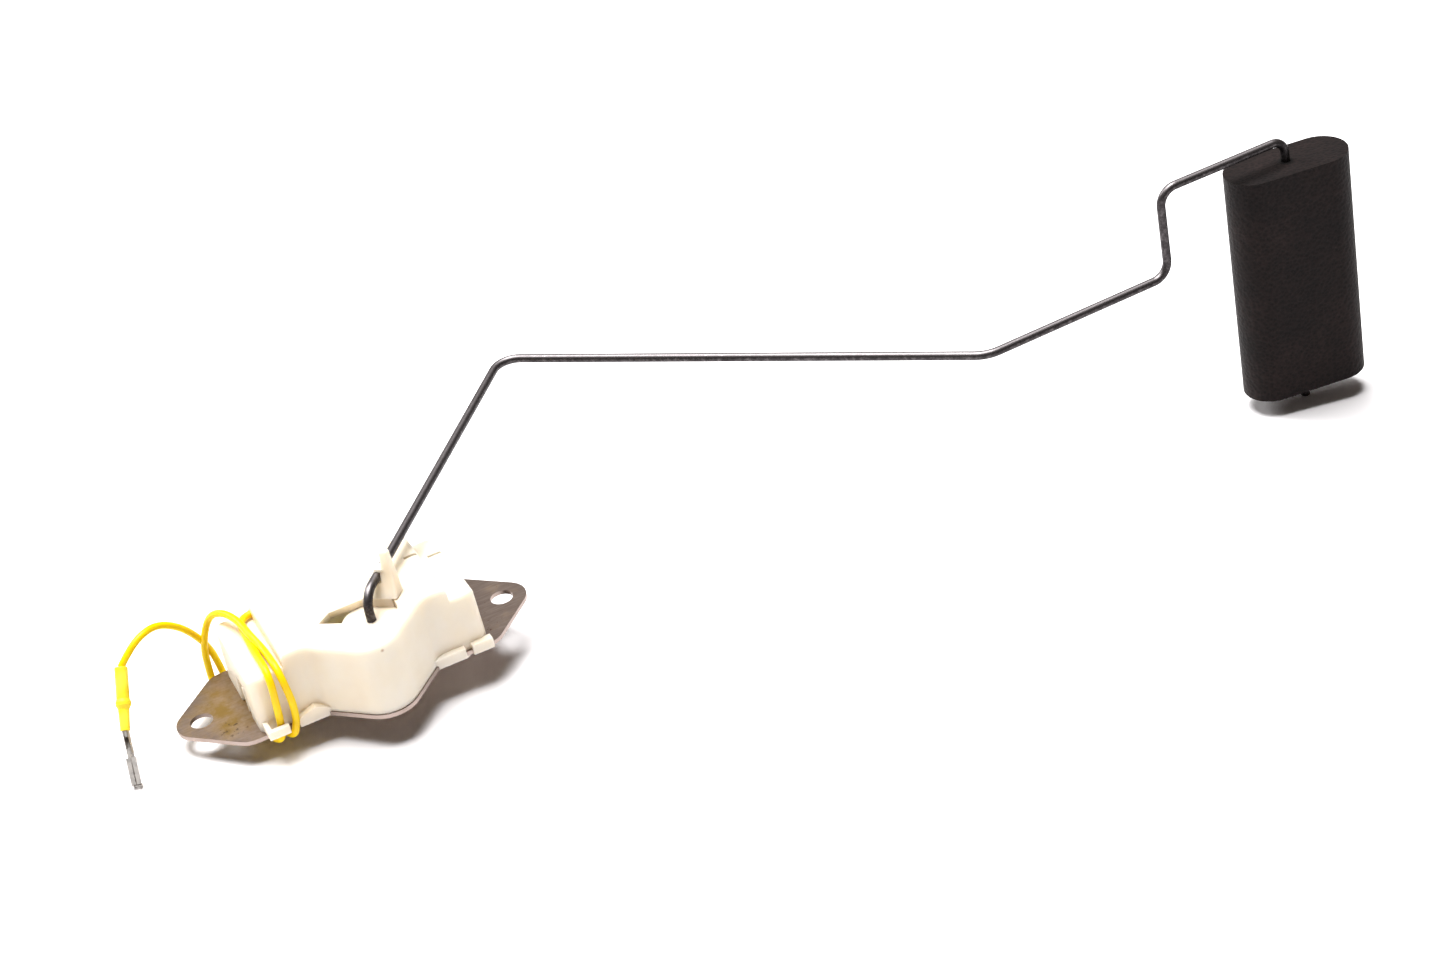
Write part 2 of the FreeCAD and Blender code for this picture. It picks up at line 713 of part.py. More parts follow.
def make_bush():
    """Flanged brass bush riveted into the plate, with a running bore for the wire's end."""
    body = cylinder("BushBody", "sizes.bush_radius", SEAT)
    flange = cylinder("BushFlange", "sizes.bush_flange_radius", "sizes.bush_flange", SEAT)
    rivet = cylinder("BushRivet", "sizes.bush_rivet_radius", "sizes.bush_rivet", "-sizes.bush_rivet")
    bore = cylinder("BushBore", "sizes.wire_radius + sizes.bush_clearance",
                    "sizes.bush_rivet + sizes.plate_thickness + sizes.bush_flange", "-sizes.bush_rivet")
    return keep(cut("Bush", fuse("BushTurned", body, flange, rivet), bore), "pivot_bush")


BLADE_BOTTOM = ("sizes.plate_thickness + sizes.cover_top_height - sizes.cover_wall - sizes.disc_play"
                " - sizes.disc_thickness - sizes.blade_thickness")


def make_ground_spring():
    """Bronze strip bent into a foot, a riser and a finger that reaches under the wiper's ring."""
    body = new_body("GroundSpringBody")
    thickness = "sizes.spring_thickness"
    finger_top = f"({BLADE_BOTTOM} - sizes.running_gap)"
    outer = "sizes.spring_run + sizes.spring_half_width"
    riser = "sizes.spring_riser"
    tip = "sizes.spring_tip"
    profile = new_sketch(body, "SpringProfile", "-sizes.spring_half_width", "XZ_Plane")
    polygon(profile, [
        (outer, SEAT), (outer, f"{SEAT} + {thickness}"), (f"{riser} + {thickness}", f"{SEAT} + {thickness}"),
        (f"{riser} + {thickness}", finger_top), (tip, finger_top), (tip, f"{finger_top} - {thickness}"),
        (riser, f"{finger_top} - {thickness}"), (riser, SEAT),
    ])
    pad(body, "SpringStrip", profile, "2 * sizes.spring_half_width")
    hole = new_sketch(body, "SpringHole", SEAT)
    circle(hole, "sizes.spring_run", "0", "sizes.spring_rivet_radius")
    pocket(body, "SpringPiercing", hole, thickness)
    place(body, "sizes.pivot_x", "sizes.pivot_y", "0", "sizes.spring_angle")
    return keep(body, "ground_spring")


def make_spring_rivet():
    """Rivet through the ground spring and the plate."""
    x, y = SPRING_RIVET_PLACE
    pieces = []
    for name, radius, height, z in (
        ("SpringRivetShank", "sizes.spring_rivet_radius", f"{SEAT} + sizes.spring_thickness", "0"),
        ("SpringRivetHead", "sizes.spring_head_radius", "sizes.spring_rivet_head",
         f"{SEAT} + sizes.spring_thickness"),
        ("SpringRivetTail", "sizes.spring_tail_radius", "sizes.spring_rivet_head",
         "-sizes.spring_rivet_head"),
    ):
        piece = cylinder(name, radius, height, z)
        place(piece, x, y, z)
        pieces.append(piece)
    return keep(fuse("SpringRivet", *pieces), "spring_rivet")


# Resistor card

CARD_BOTTOM = "(sizes.plate_thickness + sizes.card_foot_top)"
CARD_TOP = f"({BLADE_BOTTOM} - sizes.contact_height - sizes.running_gap - sizes.winding_thickness)"


def ring_sector(name, inner, outer, bottom, top, start, sweep):
    """A stretch of an upright strip bent round the pivot."""
    solid = cylinder(f"{name}Outer", outer, f"{top} - {bottom}", bottom, sweep, start)
    core = cylinder(f"{name}Inner", inner, f"{top} - {bottom}", bottom)
    return cut(name, solid, core)


def card_end_angles():
    """Angles of the two unwound ends, where the eyelets sit."""
    half_foot = "sizes.card_foot_angle / 2"
    last = f"(sizes.card_start_angle + sizes.card_sweep_angle - {half_foot})"
    return [f"(sizes.card_start_angle + {half_foot})", last]


def radial_cylinder(name, angle, radius, inner, outer, height):
    """A cylinder that lies along a radius of the pivot, at a height."""
    item = doc.addObject("Part::Cylinder", name)
    item.setExpression("Radius", radius)
    item.setExpression("Height", f"{outer} - ({inner})")
    turn = value(angle)
    centre = Vector(size("pivot_x"), size("pivot_y"), value(height))
    across = Rotation(Vector(0, 0, 1), turn).multiply(Rotation(Vector(0, 1, 0), 90))
    item.Placement = Placement(centre + heading_vector(turn) * value(inner), across)
    return item


def make_card():
    """Phenolic strip bent round the pivot, standing on two feet, with an eyelet hole at each end."""
    inner = "sizes.card_radius - sizes.card_thickness / 2"
    outer = "sizes.card_radius + sizes.card_thickness / 2"
    strip = ring_sector("CardStrip", inner, outer, CARD_BOTTOM, CARD_TOP, "sizes.card_start_angle",
                        "sizes.card_sweep_angle")
    pieces = [strip]
    last_foot = "sizes.card_start_angle + sizes.card_sweep_angle - sizes.card_foot_angle"
    for name, start in (("FirstFoot", "sizes.card_start_angle"), ("LastFoot", last_foot)):
        pieces.append(ring_sector(name, inner, outer, SEAT, CARD_BOTTOM, start, "sizes.card_foot_angle"))
    card = fuse("CardBlank", *pieces)
    holes = [
        radial_cylinder(f"CardHole{index}", angle, "sizes.eyelet_radius", f"{inner} - {THROUGH}",
                        f"{outer} + {THROUGH}", "sizes.eyelet_height")
        for index, angle in enumerate(card_end_angles())
    ]
    return keep(cut("Card", card, fuse("CardHoles", *holes)), "resistor_card")


def make_winding():
    """Resistance wire wound side by side over the strip between its two bare ends."""
    grow = "sizes.winding_thickness"
    inner = "sizes.card_radius - sizes.card_thickness / 2"
    outer = "sizes.card_radius + sizes.card_thickness / 2"
    start = "sizes.card_start_angle + sizes.card_foot_angle"
    sweep = "sizes.card_sweep_angle - 2 * sizes.card_foot_angle"
    sleeve = ring_sector("WindingSleeve", f"{inner} - {grow}", f"{outer} + {grow}",
                         f"({CARD_BOTTOM} - {grow})", f"({CARD_TOP} + {grow})", start, sweep)
    core = ring_sector("WindingCore", inner, outer, CARD_BOTTOM, CARD_TOP, start, sweep)
    return keep(cut("Winding", sleeve, core), "resistor_winding")


def make_eyelets():
    """Brass eyelets clenched at both ends of the card."""
    inner = "sizes.card_radius - sizes.card_thickness / 2"
    outer = "sizes.card_radius + sizes.card_thickness / 2"
    flange = "sizes.eyelet_flange"
    hollow = f"(({inner}) - sqrt(({inner})^2 - sizes.eyelet_flange_radius^2))"
    pieces = []
    for index, angle in enumerate(card_end_angles()):
        face = f"{outer} + sizes.tag_thickness" if index == 0 else outer
        barrel = radial_cylinder(f"EyeletBarrel{index}", angle, "sizes.eyelet_radius",
                                 f"{inner} - {hollow}", face, "sizes.eyelet_height")
        near = radial_cylinder(f"EyeletNear{index}", angle, "sizes.eyelet_flange_radius",
                               f"{inner} - {hollow} - {flange}", f"{inner} - {hollow}", "sizes.eyelet_height")
        far = radial_cylinder(f"EyeletFar{index}", angle, "sizes.eyelet_flange_radius", face,
                              f"{face} + {flange}", "sizes.eyelet_height")
        bore = radial_cylinder(f"EyeletBore{index}", angle, "sizes.eyelet_bore", f"{inner} - {THROUGH}",
                               f"{face} + {THROUGH}", "sizes.eyelet_height")
        pieces.append(cut(f"Eyelet{index}", fuse(f"EyeletSpool{index}", barrel, near, far), bore))
    group = doc.addObject("Part::Compound", "Eyelets")
    group.Links = pieces
    return keep(group, "card_eyelets")


def make_tag():
    """Tinned tag under the first eyelet, to which the lead's inner end is soldered."""
    outer = "sizes.card_radius + sizes.card_thickness / 2"
    blank = doc.addObject("Part::Box", "TagBlank")
    blank.setExpression("Length", "sizes.tag_thickness")
    blank.setExpression("Width", "2 * sizes.tag_half_width")
    foot = "(sizes.eyelet_height - sizes.tag_half_width)"
    blank.setExpression("Height", f"{COVER_CEILING} - sizes.tag_headroom - {foot}")
    turn = value(card_end_angles()[0])
    side = heading_vector(turn + 90)
    corner = (Vector(size("pivot_x"), size("pivot_y"), value(foot))
              + heading_vector(turn) * (value(outer) + size("tag_seat")) - side * size("tag_half_width"))
    blank.Placement = Placement(corner, Rotation(Vector(0, 0, 1), turn))
    hole = radial_cylinder("TagHole", card_end_angles()[0], "sizes.eyelet_radius", outer,
                           f"{outer} + 2 * sizes.tag_thickness + {THROUGH}", "sizes.eyelet_height")
    return keep(cut("Tag", blank, hole), "live_terminal")


# Rotor and wiper, drawn along the arm and turned into place

DISC_TOP = "(sizes.plate_thickness + sizes.cover_top_height - sizes.cover_wall - sizes.disc_play)"
DISC_BOTTOM = f"({DISC_TOP} - sizes.disc_thickness)"
TOWER_FLOOR = f"({COVER_TOP} + sizes.tower_clearance)"
ARM_LEVEL = f"({COVER_TOP} + sizes.arm_rise)"
RIVET_PLACES = [("0", "sizes.rivet_offset"), ("0", "-sizes.rivet_offset")]


def make_rotor():
    """White moulded rotor: hub, disc with a stop lug, and the tower that clips the wire."""
    body = new_body("RotorBody")
    hub_bottom = "(sizes.plate_thickness + sizes.bush_flange + sizes.running_gap)"
    hub = new_sketch(body, "HubCircle", hub_bottom)
    circle(hub, "0", "0", "sizes.boss_radius")
    pad(body, "Hub", hub, f"{DISC_BOTTOM} - {hub_bottom}")
    disc = new_sketch(body, "DiscCircle", DISC_BOTTOM)
    circle(disc, "0", "0", "sizes.disc_radius")
    pad(body, "Disc", disc, "sizes.disc_thickness")
    lug = new_sketch(body, "LugOutline", DISC_BOTTOM)
    rectangle(lug, "-sizes.lug_radius", "-sizes.boss_radius", "-sizes.lug_half_width", "sizes.lug_half_width")
    pad(body, "Lug", lug, "sizes.disc_thickness - sizes.disc_play")
    neck = new_sketch(body, "NeckCircle", DISC_TOP)
    circle(neck, "0", "0", "sizes.opening_radius - sizes.running_gap")
    pad(body, "Neck", neck, f"{TOWER_FLOOR} - {DISC_TOP}")
    clear = new_sketch(body, "NeckClearing", DISC_TOP)
    rectangle(clear, "-sizes.disc_radius", "sizes.tower_front", "-sizes.disc_radius", "sizes.disc_radius")
    pocket(body, "NeckClearingCut", clear, f"{TOWER_FLOOR} - {DISC_TOP}")
    tower(body)
    bore = new_sketch(body, "WireBore", "0")
    circle(bore, "0", "0", "sizes.wire_radius + sizes.grip_gap")
    pocket(body, "WireBoreCut", bore, f"{DISC_TOP}")
    rivets = new_sketch(body, "RivetBores", DISC_BOTTOM)
    for x, y in RIVET_PLACES:
        circle(rivets, x, y, "sizes.rivet_radius")
    pocket(body, "RivetBoreCuts", rivets, "sizes.rivet_depth")
    place(body, "sizes.pivot_x", "sizes.pivot_y", "0", "sizes.arm_angle")
    return keep(body, "rotor_hub")


def taper(body, label, sections_at):
    """Loft through level rectangles, each given as height, front, back, right and left."""
    sections = []
    for number, (level, front, back, right, left) in enumerate(sections_at, start=1):
        section = new_sketch(body, f"{label}Section{number}", level)
        rectangle(section, front, back, right, left)
        sections.append(section)
    loft = body.newObject("PartDesign::AdditiveLoft", label)
    loft.Profile = sections[0]
    loft.Sections = sections[1:]
    doc.recompute()
    return loft


def tower(body):
    """Tapered tower that rises beside the wire, with a lip that clips the wire from above."""
    grip = "(sizes.wire_radius + sizes.grip_gap)"
    lip_bottom = f"({ARM_LEVEL} + {grip})"
    top = f"({ARM_LEVEL} + sizes.tower_rise)"
    shaft = taper(body, "Tower", (
        (TOWER_FLOOR, "sizes.tower_front", "sizes.foot_back", "-sizes.foot_right", "sizes.tower_left"),
        (lip_bottom, "sizes.lip_front", "sizes.tower_back", "-sizes.tower_right", f"-{grip}"),
        (top, "sizes.top_front", "sizes.tower_back", "-sizes.top_right", "-sizes.top_left"),
    ))
    floor = value(TOWER_FLOOR) - TOUCH
    corners = edges_where(shaft, lambda edge: climbs_above(edge, floor)
                          and edge.CenterOfMass.y < -size("tower_right") / 2)
    solid = fillet(body, "TowerCorners", shaft, corners, "sizes.tower_round")
    crown_level = value(top) - TOUCH
    crown = edges_where(solid, lambda edge: all(vertex.Z > crown_level for vertex in edge.Vertexes))
    fillet(body, "TowerCrown", solid, crown, "sizes.crown_round")
    lip = new_sketch(body, "LipOutline", lip_bottom)
    rectangle(lip, "sizes.lip_front", "sizes.tower_back", f"-{grip} - sizes.lip_thickness", "sizes.lip_reach")
    pad(body, "Lip", lip, "sizes.lip_thickness")
    jaw = new_sketch(body, "JawOutline", TOWER_FLOOR)
    rectangle(jaw, "sizes.lip_front", "sizes.foot_back", f"-{grip}", "sizes.jaw_left")
    pad(body, "Jaw", jaw, f"{ARM_LEVEL} - sizes.jaw_drop - {TOWER_FLOOR}")
    channel = new_sketch(body, "Channel", f"{ARM_LEVEL} - {grip}")
    rectangle(channel, "sizes.tower_front - sizes.wire_radius", "sizes.tower_back + sizes.wire_radius",
              f"-{grip}", grip)
    pocket(body, "ChannelCut", channel, f"2 * {grip}")


def make_wiper_blade():
    """Bronze ring round the hub with a tongue that carries the contact."""
    body = new_body("WiperBody")
    ring = new_sketch(body, "WiperRing", BLADE_BOTTOM)
    circle(ring, "0", "0", "sizes.blade_ring_radius")
    pad(body, "WiperRingPad", ring, "sizes.blade_thickness")
    tongue = new_sketch(body, "WiperTongue", BLADE_BOTTOM)
    end = "-(sizes.card_radius + sizes.contact_radius)"
    polygon(tongue, [
        ("0", "-sizes.blade_half_width"), ("0", "sizes.blade_half_width"),
        (end, "sizes.contact_radius"), (end, "-sizes.contact_radius"),
    ])
    pad(body, "WiperTonguePad", tongue, "sizes.blade_thickness")
    hole = new_sketch(body, "WiperHole", BLADE_BOTTOM)
    circle(hole, "0", "0", "sizes.blade_inner_radius")
    for x, y in RIVET_PLACES:
        circle(hole, x, y, "sizes.rivet_radius")
    pocket(body, "WiperHoleCut", hole, "sizes.blade_thickness")
    place(body, "sizes.pivot_x", "sizes.pivot_y", "0", "sizes.arm_angle")
    return keep(body, "wiper_blade")


def on_rotor(item, x, y, z):
    """Place a primitive at a point of the turned rotor."""
    turn = "sizes.arm_angle"
    place(item, f"sizes.pivot_x + ({x}) * cos({turn}) - ({y}) * sin({turn})",
          f"sizes.pivot_y + ({x}) * sin({turn}) + ({y}) * cos({turn})", z, turn)
    return item


def make_wiper_contact():
    """Round contact button just above the winding's top edge."""
    contact = cylinder("WiperContact", "sizes.contact_radius", "sizes.contact_height")
    on_rotor(contact, "-sizes.card_radius", "0", f"{BLADE_BOTTOM} - sizes.contact_height")
    return keep(contact, "wiper_contact")


def make_wiper_rivets():
    """Two small rivets from the blade into the disc."""
    pieces = []
    for index, (x, y) in enumerate(RIVET_PLACES):
        shank = cylinder(f"WiperShank{index}", "sizes.rivet_radius",
                         "sizes.rivet_depth + sizes.blade_thickness")
        head = cylinder(f"WiperHead{index}", "sizes.rivet_head_radius", "sizes.rivet_head")
        on_rotor(shank, x, y, BLADE_BOTTOM)
        on_rotor(head, x, y, f"{BLADE_BOTTOM} - sizes.rivet_head")
        pieces.append(fuse(f"WiperRivet{index}", shank, head))
    group = doc.addObject("Part::Compound", "WiperRivets")
    group.Links = pieces
    return keep(group, "wiper_rivets")


# Arm wire

def arm_points():
    """Corners of the bent wire, from its pivot end to its tip below the float."""
    pivot_foot = Vector(size("pivot_x"), size("pivot_y"), -size("wire_below_plate"))
    pivot_top = Vector(size("pivot_x"), size("pivot_y"), value(ARM_LEVEL))
    angle = size("arm_angle")
    elbow = pivot_top + heading_vector(angle) * size("first_run")
    angle -= size("first_turn_angle")
    middle = elbow + heading_vector(angle) * size("second_run")
    angle += size("second_turn_angle")
    riser_foot = middle + heading_vector(angle) * size("third_run")
    riser_top = riser_foot + Vector(0, 0, size("riser"))
    angle += size("third_turn_angle")
    float_top = riser_top + heading_vector(angle) * size("top_run")
    tip = float_top - Vector(0, 0, value("sizes.float_top_gap + sizes.float_height + sizes.tip_length"))
    return [pivot_foot, pivot_top, elbow, middle, riser_foot, riser_top, float_top, tip]


def make_arm_wire():
    """One steel wire with a bend at each corner."""
    bends = [size(name) for name in (
        "pivot_bend", "elbow_bend", "middle_bend", "riser_bend", "riser_bend", "float_bend")]
    return shape_part("arm_wire", round_sweep(corner_arcs(arm_points(), bends), size("wire_radius")))


# Float and its retainer

def make_float():
    """Foam block of stadium section with a bore for the wire."""
    body = new_body("FloatBody")
    reach = "sizes.float_half_length - sizes.float_half_width"
    outline = new_sketch(body, "FloatMiddle")
    rectangle(outline, f"-({reach})", reach, "-sizes.float_half_width", "sizes.float_half_width")
    pad(body, "FloatMiddlePad", outline, "sizes.float_height")
    for name, x in (("Left", f"-({reach})"), ("Right", reach)):
        sketch = new_sketch(body, f"Float{name}End")
        circle(sketch, x, "0", "sizes.float_half_width")
        pad(body, f"Float{name}Pad", sketch, "sizes.float_height")
    bore = new_sketch(body, "FloatBore")
    circle(bore, "0", "0", "sizes.wire_radius + sizes.float_clearance")
    pocket(body, "FloatBoreCut", bore, "sizes.float_height")
    base = arm_points()[-2] - Vector(0, 0, size("float_top_gap") + size("float_height"))
    body.Placement = Placement(base, Rotation(Vector(0, 0, 1), size("float_angle")))
    return keep(body, "float")


def make_float_retainer():
    """Push-on retainer on the wire, just below the float."""
    drop = size("float_top_gap") + size("float_height") + size("running_gap") + size("retainer_thickness")
    base = arm_points()[-2] - Vector(0, 0, drop)
    disc = doc.addObject("Part::Cylinder", "RetainerDisc")
    disc.setExpression("Radius", "sizes.retainer_radius")
    disc.setExpression("Height", "sizes.retainer_thickness")
    hole = doc.addObject("Part::Cylinder", "RetainerHole")
    hole.setExpression("Radius", "sizes.wire_radius + sizes.grip_gap")
    hole.setExpression("Height", "sizes.retainer_thickness")
    for item in (disc, hole):
        item.Placement = Placement(base, Rotation())
    return keep(cut("Retainer", disc, hole), "float_retainer")


# Lead

LEAD_ROUTE = [
    (-20.7, 11.6, 18.9), (-22.0, 11.6, 18.9), (-24.2, 9.9, 18.9), (-25.4, 6.6, 18.9),
    (-25.9, 1.0, 18.9), (-25.8, -6.0, 19.0), (-25.4, -12.6, 19.2), (-25.2, -16.4, 18.6),
    (-25.3, -18.8, 15.4), (-25.5, -19.0, 9.5), (-26.0, -18.9, 4.2), (-26.5, -19.2, 1.2),
    (-27.0, -18.9, -1.2), (-28.0, -16.6, -2.2), (-29.2, -12.0, -1.5), (-30.9, -4.0, -1.3),
    (-32.8, 5.0, -1.3), (-34.3, 11.8, -1.5), (-35.2, 16.6, -2.2), (-35.7, 19.3, -1.0),
    (-36.0, 20.4, 2.6), (-35.6, 20.2, 7.6), (-34.2, 19.6, 12.8), (-31.8, 18.8, 17.0),
    (-28.8, 16.6, 20.0), (-25.6, 12.8, 21.4), (-23.2, 7.6, 21.2), (-22.6, 1.8, 19.6),
    (-22.4, -5.4, 19.0), (-22.2, -12.4, 19.2), (-22.1, -16.4, 18.6), (-22.1, -18.8, 15.4),
    (-22.2, -19.2, 9.5), (-22.5, -19.2, 4.4), (-22.8, -19.3, 1.2), (-23.3, -18.9, -1.2),
    (-24.2, -16.6, -2.2), (-25.3, -12.0, -1.5), (-27.0, -4.0, -1.3), (-28.7, 4.6, -1.3),
    (-30.0, 11.4, -1.5), (-30.9, 16.4, -2.2), (-31.5, 19.2, -1.1), (-31.8, 20.6, 2.4),
    (-32.6, 20.8, 7.4), (-34.8, 20.2, 12.8), (-38.6, 18.9, 18.8), (-44.2, 16.9, 23.4),
    (-50.2, 14.0, 24.1), (-54.6, 12.2, 21.6), (-57.0, 11.0, 19.0),
]
SLEEVE_END = (-62.2, 0.7, 7.0)
TERMINAL_TIP = (-64.6, -9.1, -2.8)
INNER_ROUTE = [
    (-20.7, 11.6, 18.9), (-18.2, 11.6, 18.9), (-16.0, 11.0, 17.6), (-14.4, 8.8, 14.8), (-12.6, 4.6, 12.6),
    (-11.2, -1.6, 11.4), (-9.0, -7.6, 11.2), (-6.6, -11.6, 11.6),
]


def lead_tube(name, route, length_note):
    """Round lead along straight runs joined by the largest arcs that the runs allow."""
    points = [Vector(*point) for point in route]
    radii = cord_radii(points)
    path = corner_arcs(points, radii)
    tube = round_sweep(path, size("lead_radius"))
    section = math.pi * size("lead_radius") ** 2
    ratio = tube.Volume / (section * path.Length)
    print(f"{length_note}: length {path.Length:.1f}, volume ratio {ratio:.4f},"
          " radii " + " ".join(f"{radius:.1f}" for radius in radii))
    return shape_part(name, tube)


def along(start, end):
    """Placement whose X axis runs from one point to another, with its Z axis kept upward."""
    heading = (Vector(*end) - Vector(*start)).normalize()
    side = Vector(0, 0, 1).cross(heading).normalize()
    up = heading.cross(side)
    frame = Matrix(heading.x, side.x, up.x, start[0], heading.y, side.y, up.y, start[1],
                   heading.z, side.z, up.z, start[2], 0, 0, 0, 1)
    return Placement(frame)


# Stations of the sleeve's bulge, as shares of its run.
SLEEVE_LIP = 0.02
BULGE_START = 0.5
BULGE_FRONT = 0.55
BULGE_BACK = 0.6
BULGE_END = 0.66


def make_sleeve():
    """Shrunk sleeve over the joint: a smooth length, a bulge over the joint and a narrower end."""
    start = LEAD_ROUTE[-1]
    run = (Vector(*SLEEVE_END) - Vector(*start)).Length
    outer = size("sleeve_radius")
    bulge = size("bulge_sleeve_radius")
    end = size("sleeve_end_radius")
    stations = [(0, size("sleeve_mouth_radius")), (SLEEVE_LIP, outer), (BULGE_START, outer),
                (BULGE_FRONT, bulge), (BULGE_BACK, bulge), (BULGE_END, size("sleeve_waist_radius")), (1, end)]
    corners = [Vector(0, 0, 0)] + [Vector(run * share, 0, radius) for share, radius in stations]
    corners += [Vector(run, 0, 0)]
    face = Part.Face(Part.makePolygon(corners + [corners[0]]))
    solid = face.revolve(Vector(0, 0, 0), Vector(1, 0, 0), 360)
    return shape_part("splice_sleeve", solid, along(start, SLEEVE_END))


def make_terminal():
    """Socket terminal: open barrel crimped on the lead, a neck, the folded socket and its lance."""
    place_on_lead = along(SLEEVE_END, TERMINAL_TIP)
    wall = size("terminal_wall")
    barrel = size("barrel_length")
    outer = size("barrel_outer")
    neck = size("terminal_neck")
    length = size("socket_length")
    width = size("socket_width")
    depth = size("socket_depth")
    tube = Part.makeCylinder(outer, barrel, Vector(0, 0, 0), Vector(1, 0, 0))
    tube = tube.cut(Part.makeCylinder(outer - wall, barrel, Vector(0, 0, 0), Vector(1, 0, 0)))
    mouth = Part.makeBox(size("mouth_length"), outer, outer, Vector(size("mouth_start"), -outer / 2, 0))
    tube = tube.cut(mouth)
    strip_corner = Vector(barrel - wall, -size("neck_width") / 2, -outer)
    strip = Part.makeBox(neck + 2 * wall, size("neck_width"), wall, strip_corner)
    start = barrel + neck
    shell = Part.makeBox(length, width, depth, Vector(start, -width / 2, -outer))
    hollow = Part.makeBox(length, width - 2 * wall, depth - 2 * wall,
                          Vector(start, -width / 2 + wall, -outer + wall))
    seam_corner = Vector(start, -wall / 2, depth - outer - size("seam_inset"))
    seam = Part.makeBox(length, wall, 2 * wall, seam_corner)
    socket = shell.cut(hollow).cut(seam)
    lance_foot = Vector(start - size("lance_length"), -size("lance_width"), depth - outer - wall)
    lance = Part.makeBox(size("lance_length") + wall, size("lance_width"), wall, lance_foot)
    solid = tube.fuse([strip, socket, lance]).removeSplitter()
    return shape_part("crimp_terminal", solid, place_on_lead)


def check_objects():
    """Stop if any object failed to recompute or any sub-part is not a sound solid."""
    for item in doc.Objects:
        if "Invalid" in item.State or "Error" in item.State:
            raise RuntimeError(f"{item.Name} failed: {item.State}")
    for item in PARTS:
        if item.Shape.isNull() or not item.Shape.isValid() or not item.Shape.Solids:
            raise RuntimeError(f"{item.Label} is not a sound solid")


def write_parts():
    """Write each sub-part to its own file, named after its label."""
    os.makedirs("parts", exist_ok=True)
    for item in PARTS:
        item.Shape.exportStep(f"parts/{item.Label}.step")
        box = item.Shape.BoundBox
        print(f"{item.Label}: {len(item.Shape.Solids)} solid(s), {item.Shape.Volume:.1f} mm3,"
              f" z {box.ZMin:.2f} to {box.ZMax:.2f}")


make_plate()
make_cover()
make_bush()
make_ground_spring()
make_spring_rivet()
make_card()
make_winding()
make_eyelets()
make_tag()
make_rotor()
make_arm_wire()
make_wiper_blade()
make_wiper_contact()
make_wiper_rivets()
make_float()
make_float_retainer()
lead_tube("lead_wire", LEAD_ROUTE, "Lead")
lead_tube("inner_lead", INNER_ROUTE, "Inner lead")
make_sleeve()
make_terminal()
doc.recompute()
check_objects()
write_parts()
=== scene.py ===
"""Looks for the fuel level sender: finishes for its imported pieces, the limp lead, camera and stage."""
import math

import bmesh
import bpy
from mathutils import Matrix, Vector


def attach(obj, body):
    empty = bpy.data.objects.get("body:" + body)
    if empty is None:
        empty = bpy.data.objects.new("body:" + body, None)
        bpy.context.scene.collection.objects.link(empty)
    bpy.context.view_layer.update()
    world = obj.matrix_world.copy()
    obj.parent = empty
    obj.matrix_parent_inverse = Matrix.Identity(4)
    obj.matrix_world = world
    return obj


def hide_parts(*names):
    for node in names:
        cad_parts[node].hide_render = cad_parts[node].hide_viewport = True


bl_info = {
    "name": "Fuel level sender looks",
    "version": (1, 0, 0),
    "blender": (4, 5, 0),
    "location": "View3D > Sidebar > Sender",
    "description": "Finishes, lead and stage for a swing-arm fuel level sender",
    "category": "Object",
}

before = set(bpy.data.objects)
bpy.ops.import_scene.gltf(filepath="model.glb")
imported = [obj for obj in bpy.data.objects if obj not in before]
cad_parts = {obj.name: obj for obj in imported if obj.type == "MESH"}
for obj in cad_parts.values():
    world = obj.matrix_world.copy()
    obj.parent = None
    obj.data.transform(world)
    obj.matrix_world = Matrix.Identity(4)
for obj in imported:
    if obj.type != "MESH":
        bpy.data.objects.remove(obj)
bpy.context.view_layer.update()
MM = 0.001

# Route of the lead's middle line, in millimetres: out of the housing, over its left end, through the hook,
# under the plate, round the end again and away to the sleeve.
LEAD_ROUTE = [
    (-20.7, 11.6, 18.9), (-22.0, 11.6, 18.9), (-24.0, 9.9, 18.9), (-24.7, 6.6, 18.9),
    (-24.9, 1.0, 18.9), (-25.1, -6.0, 19.0), (-25.0, -12.6, 19.2), (-25.1, -16.4, 18.6),
    (-25.3, -18.8, 15.4), (-25.7, -19.0, 9.5), (-26.0, -18.9, 4.2), (-26.5, -19.0, 1.2),
    (-27.0, -18.5, -0.7), (-28.0, -16.4, -1.8), (-29.2, -12.0, -1.5), (-30.9, -4.0, -1.3),
    (-32.6, 5.0, -1.3), (-33.8, 11.8, -1.5), (-34.6, 16.4, -2.2), (-35.0, 19.0, -1.0),
    (-34.7, 20.1, 2.6), (-34.4, 20.0, 7.6), (-33.2, 19.4, 12.8), (-31.1, 19.4, 17.0),
    (-29.2, 16.8, 20.0), (-26.8, 12.4, 21.4), (-24.9, 6.8, 21.2), (-24.3, -0.4, 20.8),
    (-23.0, -5.4, 19.4), (-22.6, -12.1, 19.2), (-22.4, -16.2, 18.6), (-22.1, -18.8, 15.4),
    (-21.6, -19.6, 9.5), (-21.9, -19.6, 4.4), (-22.6, -19.4, 1.6), (-23.3, -18.6, -0.8),
    (-24.2, -16.4, -1.9), (-25.3, -12.0, -1.5), (-27.0, -4.0, -1.3), (-28.7, 4.6, -1.3),
    (-30.0, 11.4, -1.5), (-30.9, 16.4, -2.2), (-31.5, 19.2, -1.1), (-31.8, 20.6, 2.4),
    (-32.6, 20.8, 7.4), (-34.8, 20.2, 12.8), (-38.6, 18.9, 18.8), (-44.2, 16.9, 23.4),
    (-49.7, 13.6, 24.1), (-54.2, 11.9, 21.6), (-57.0, 11.0, 19.0),
]
LEAD_DIAMETER = 0.002

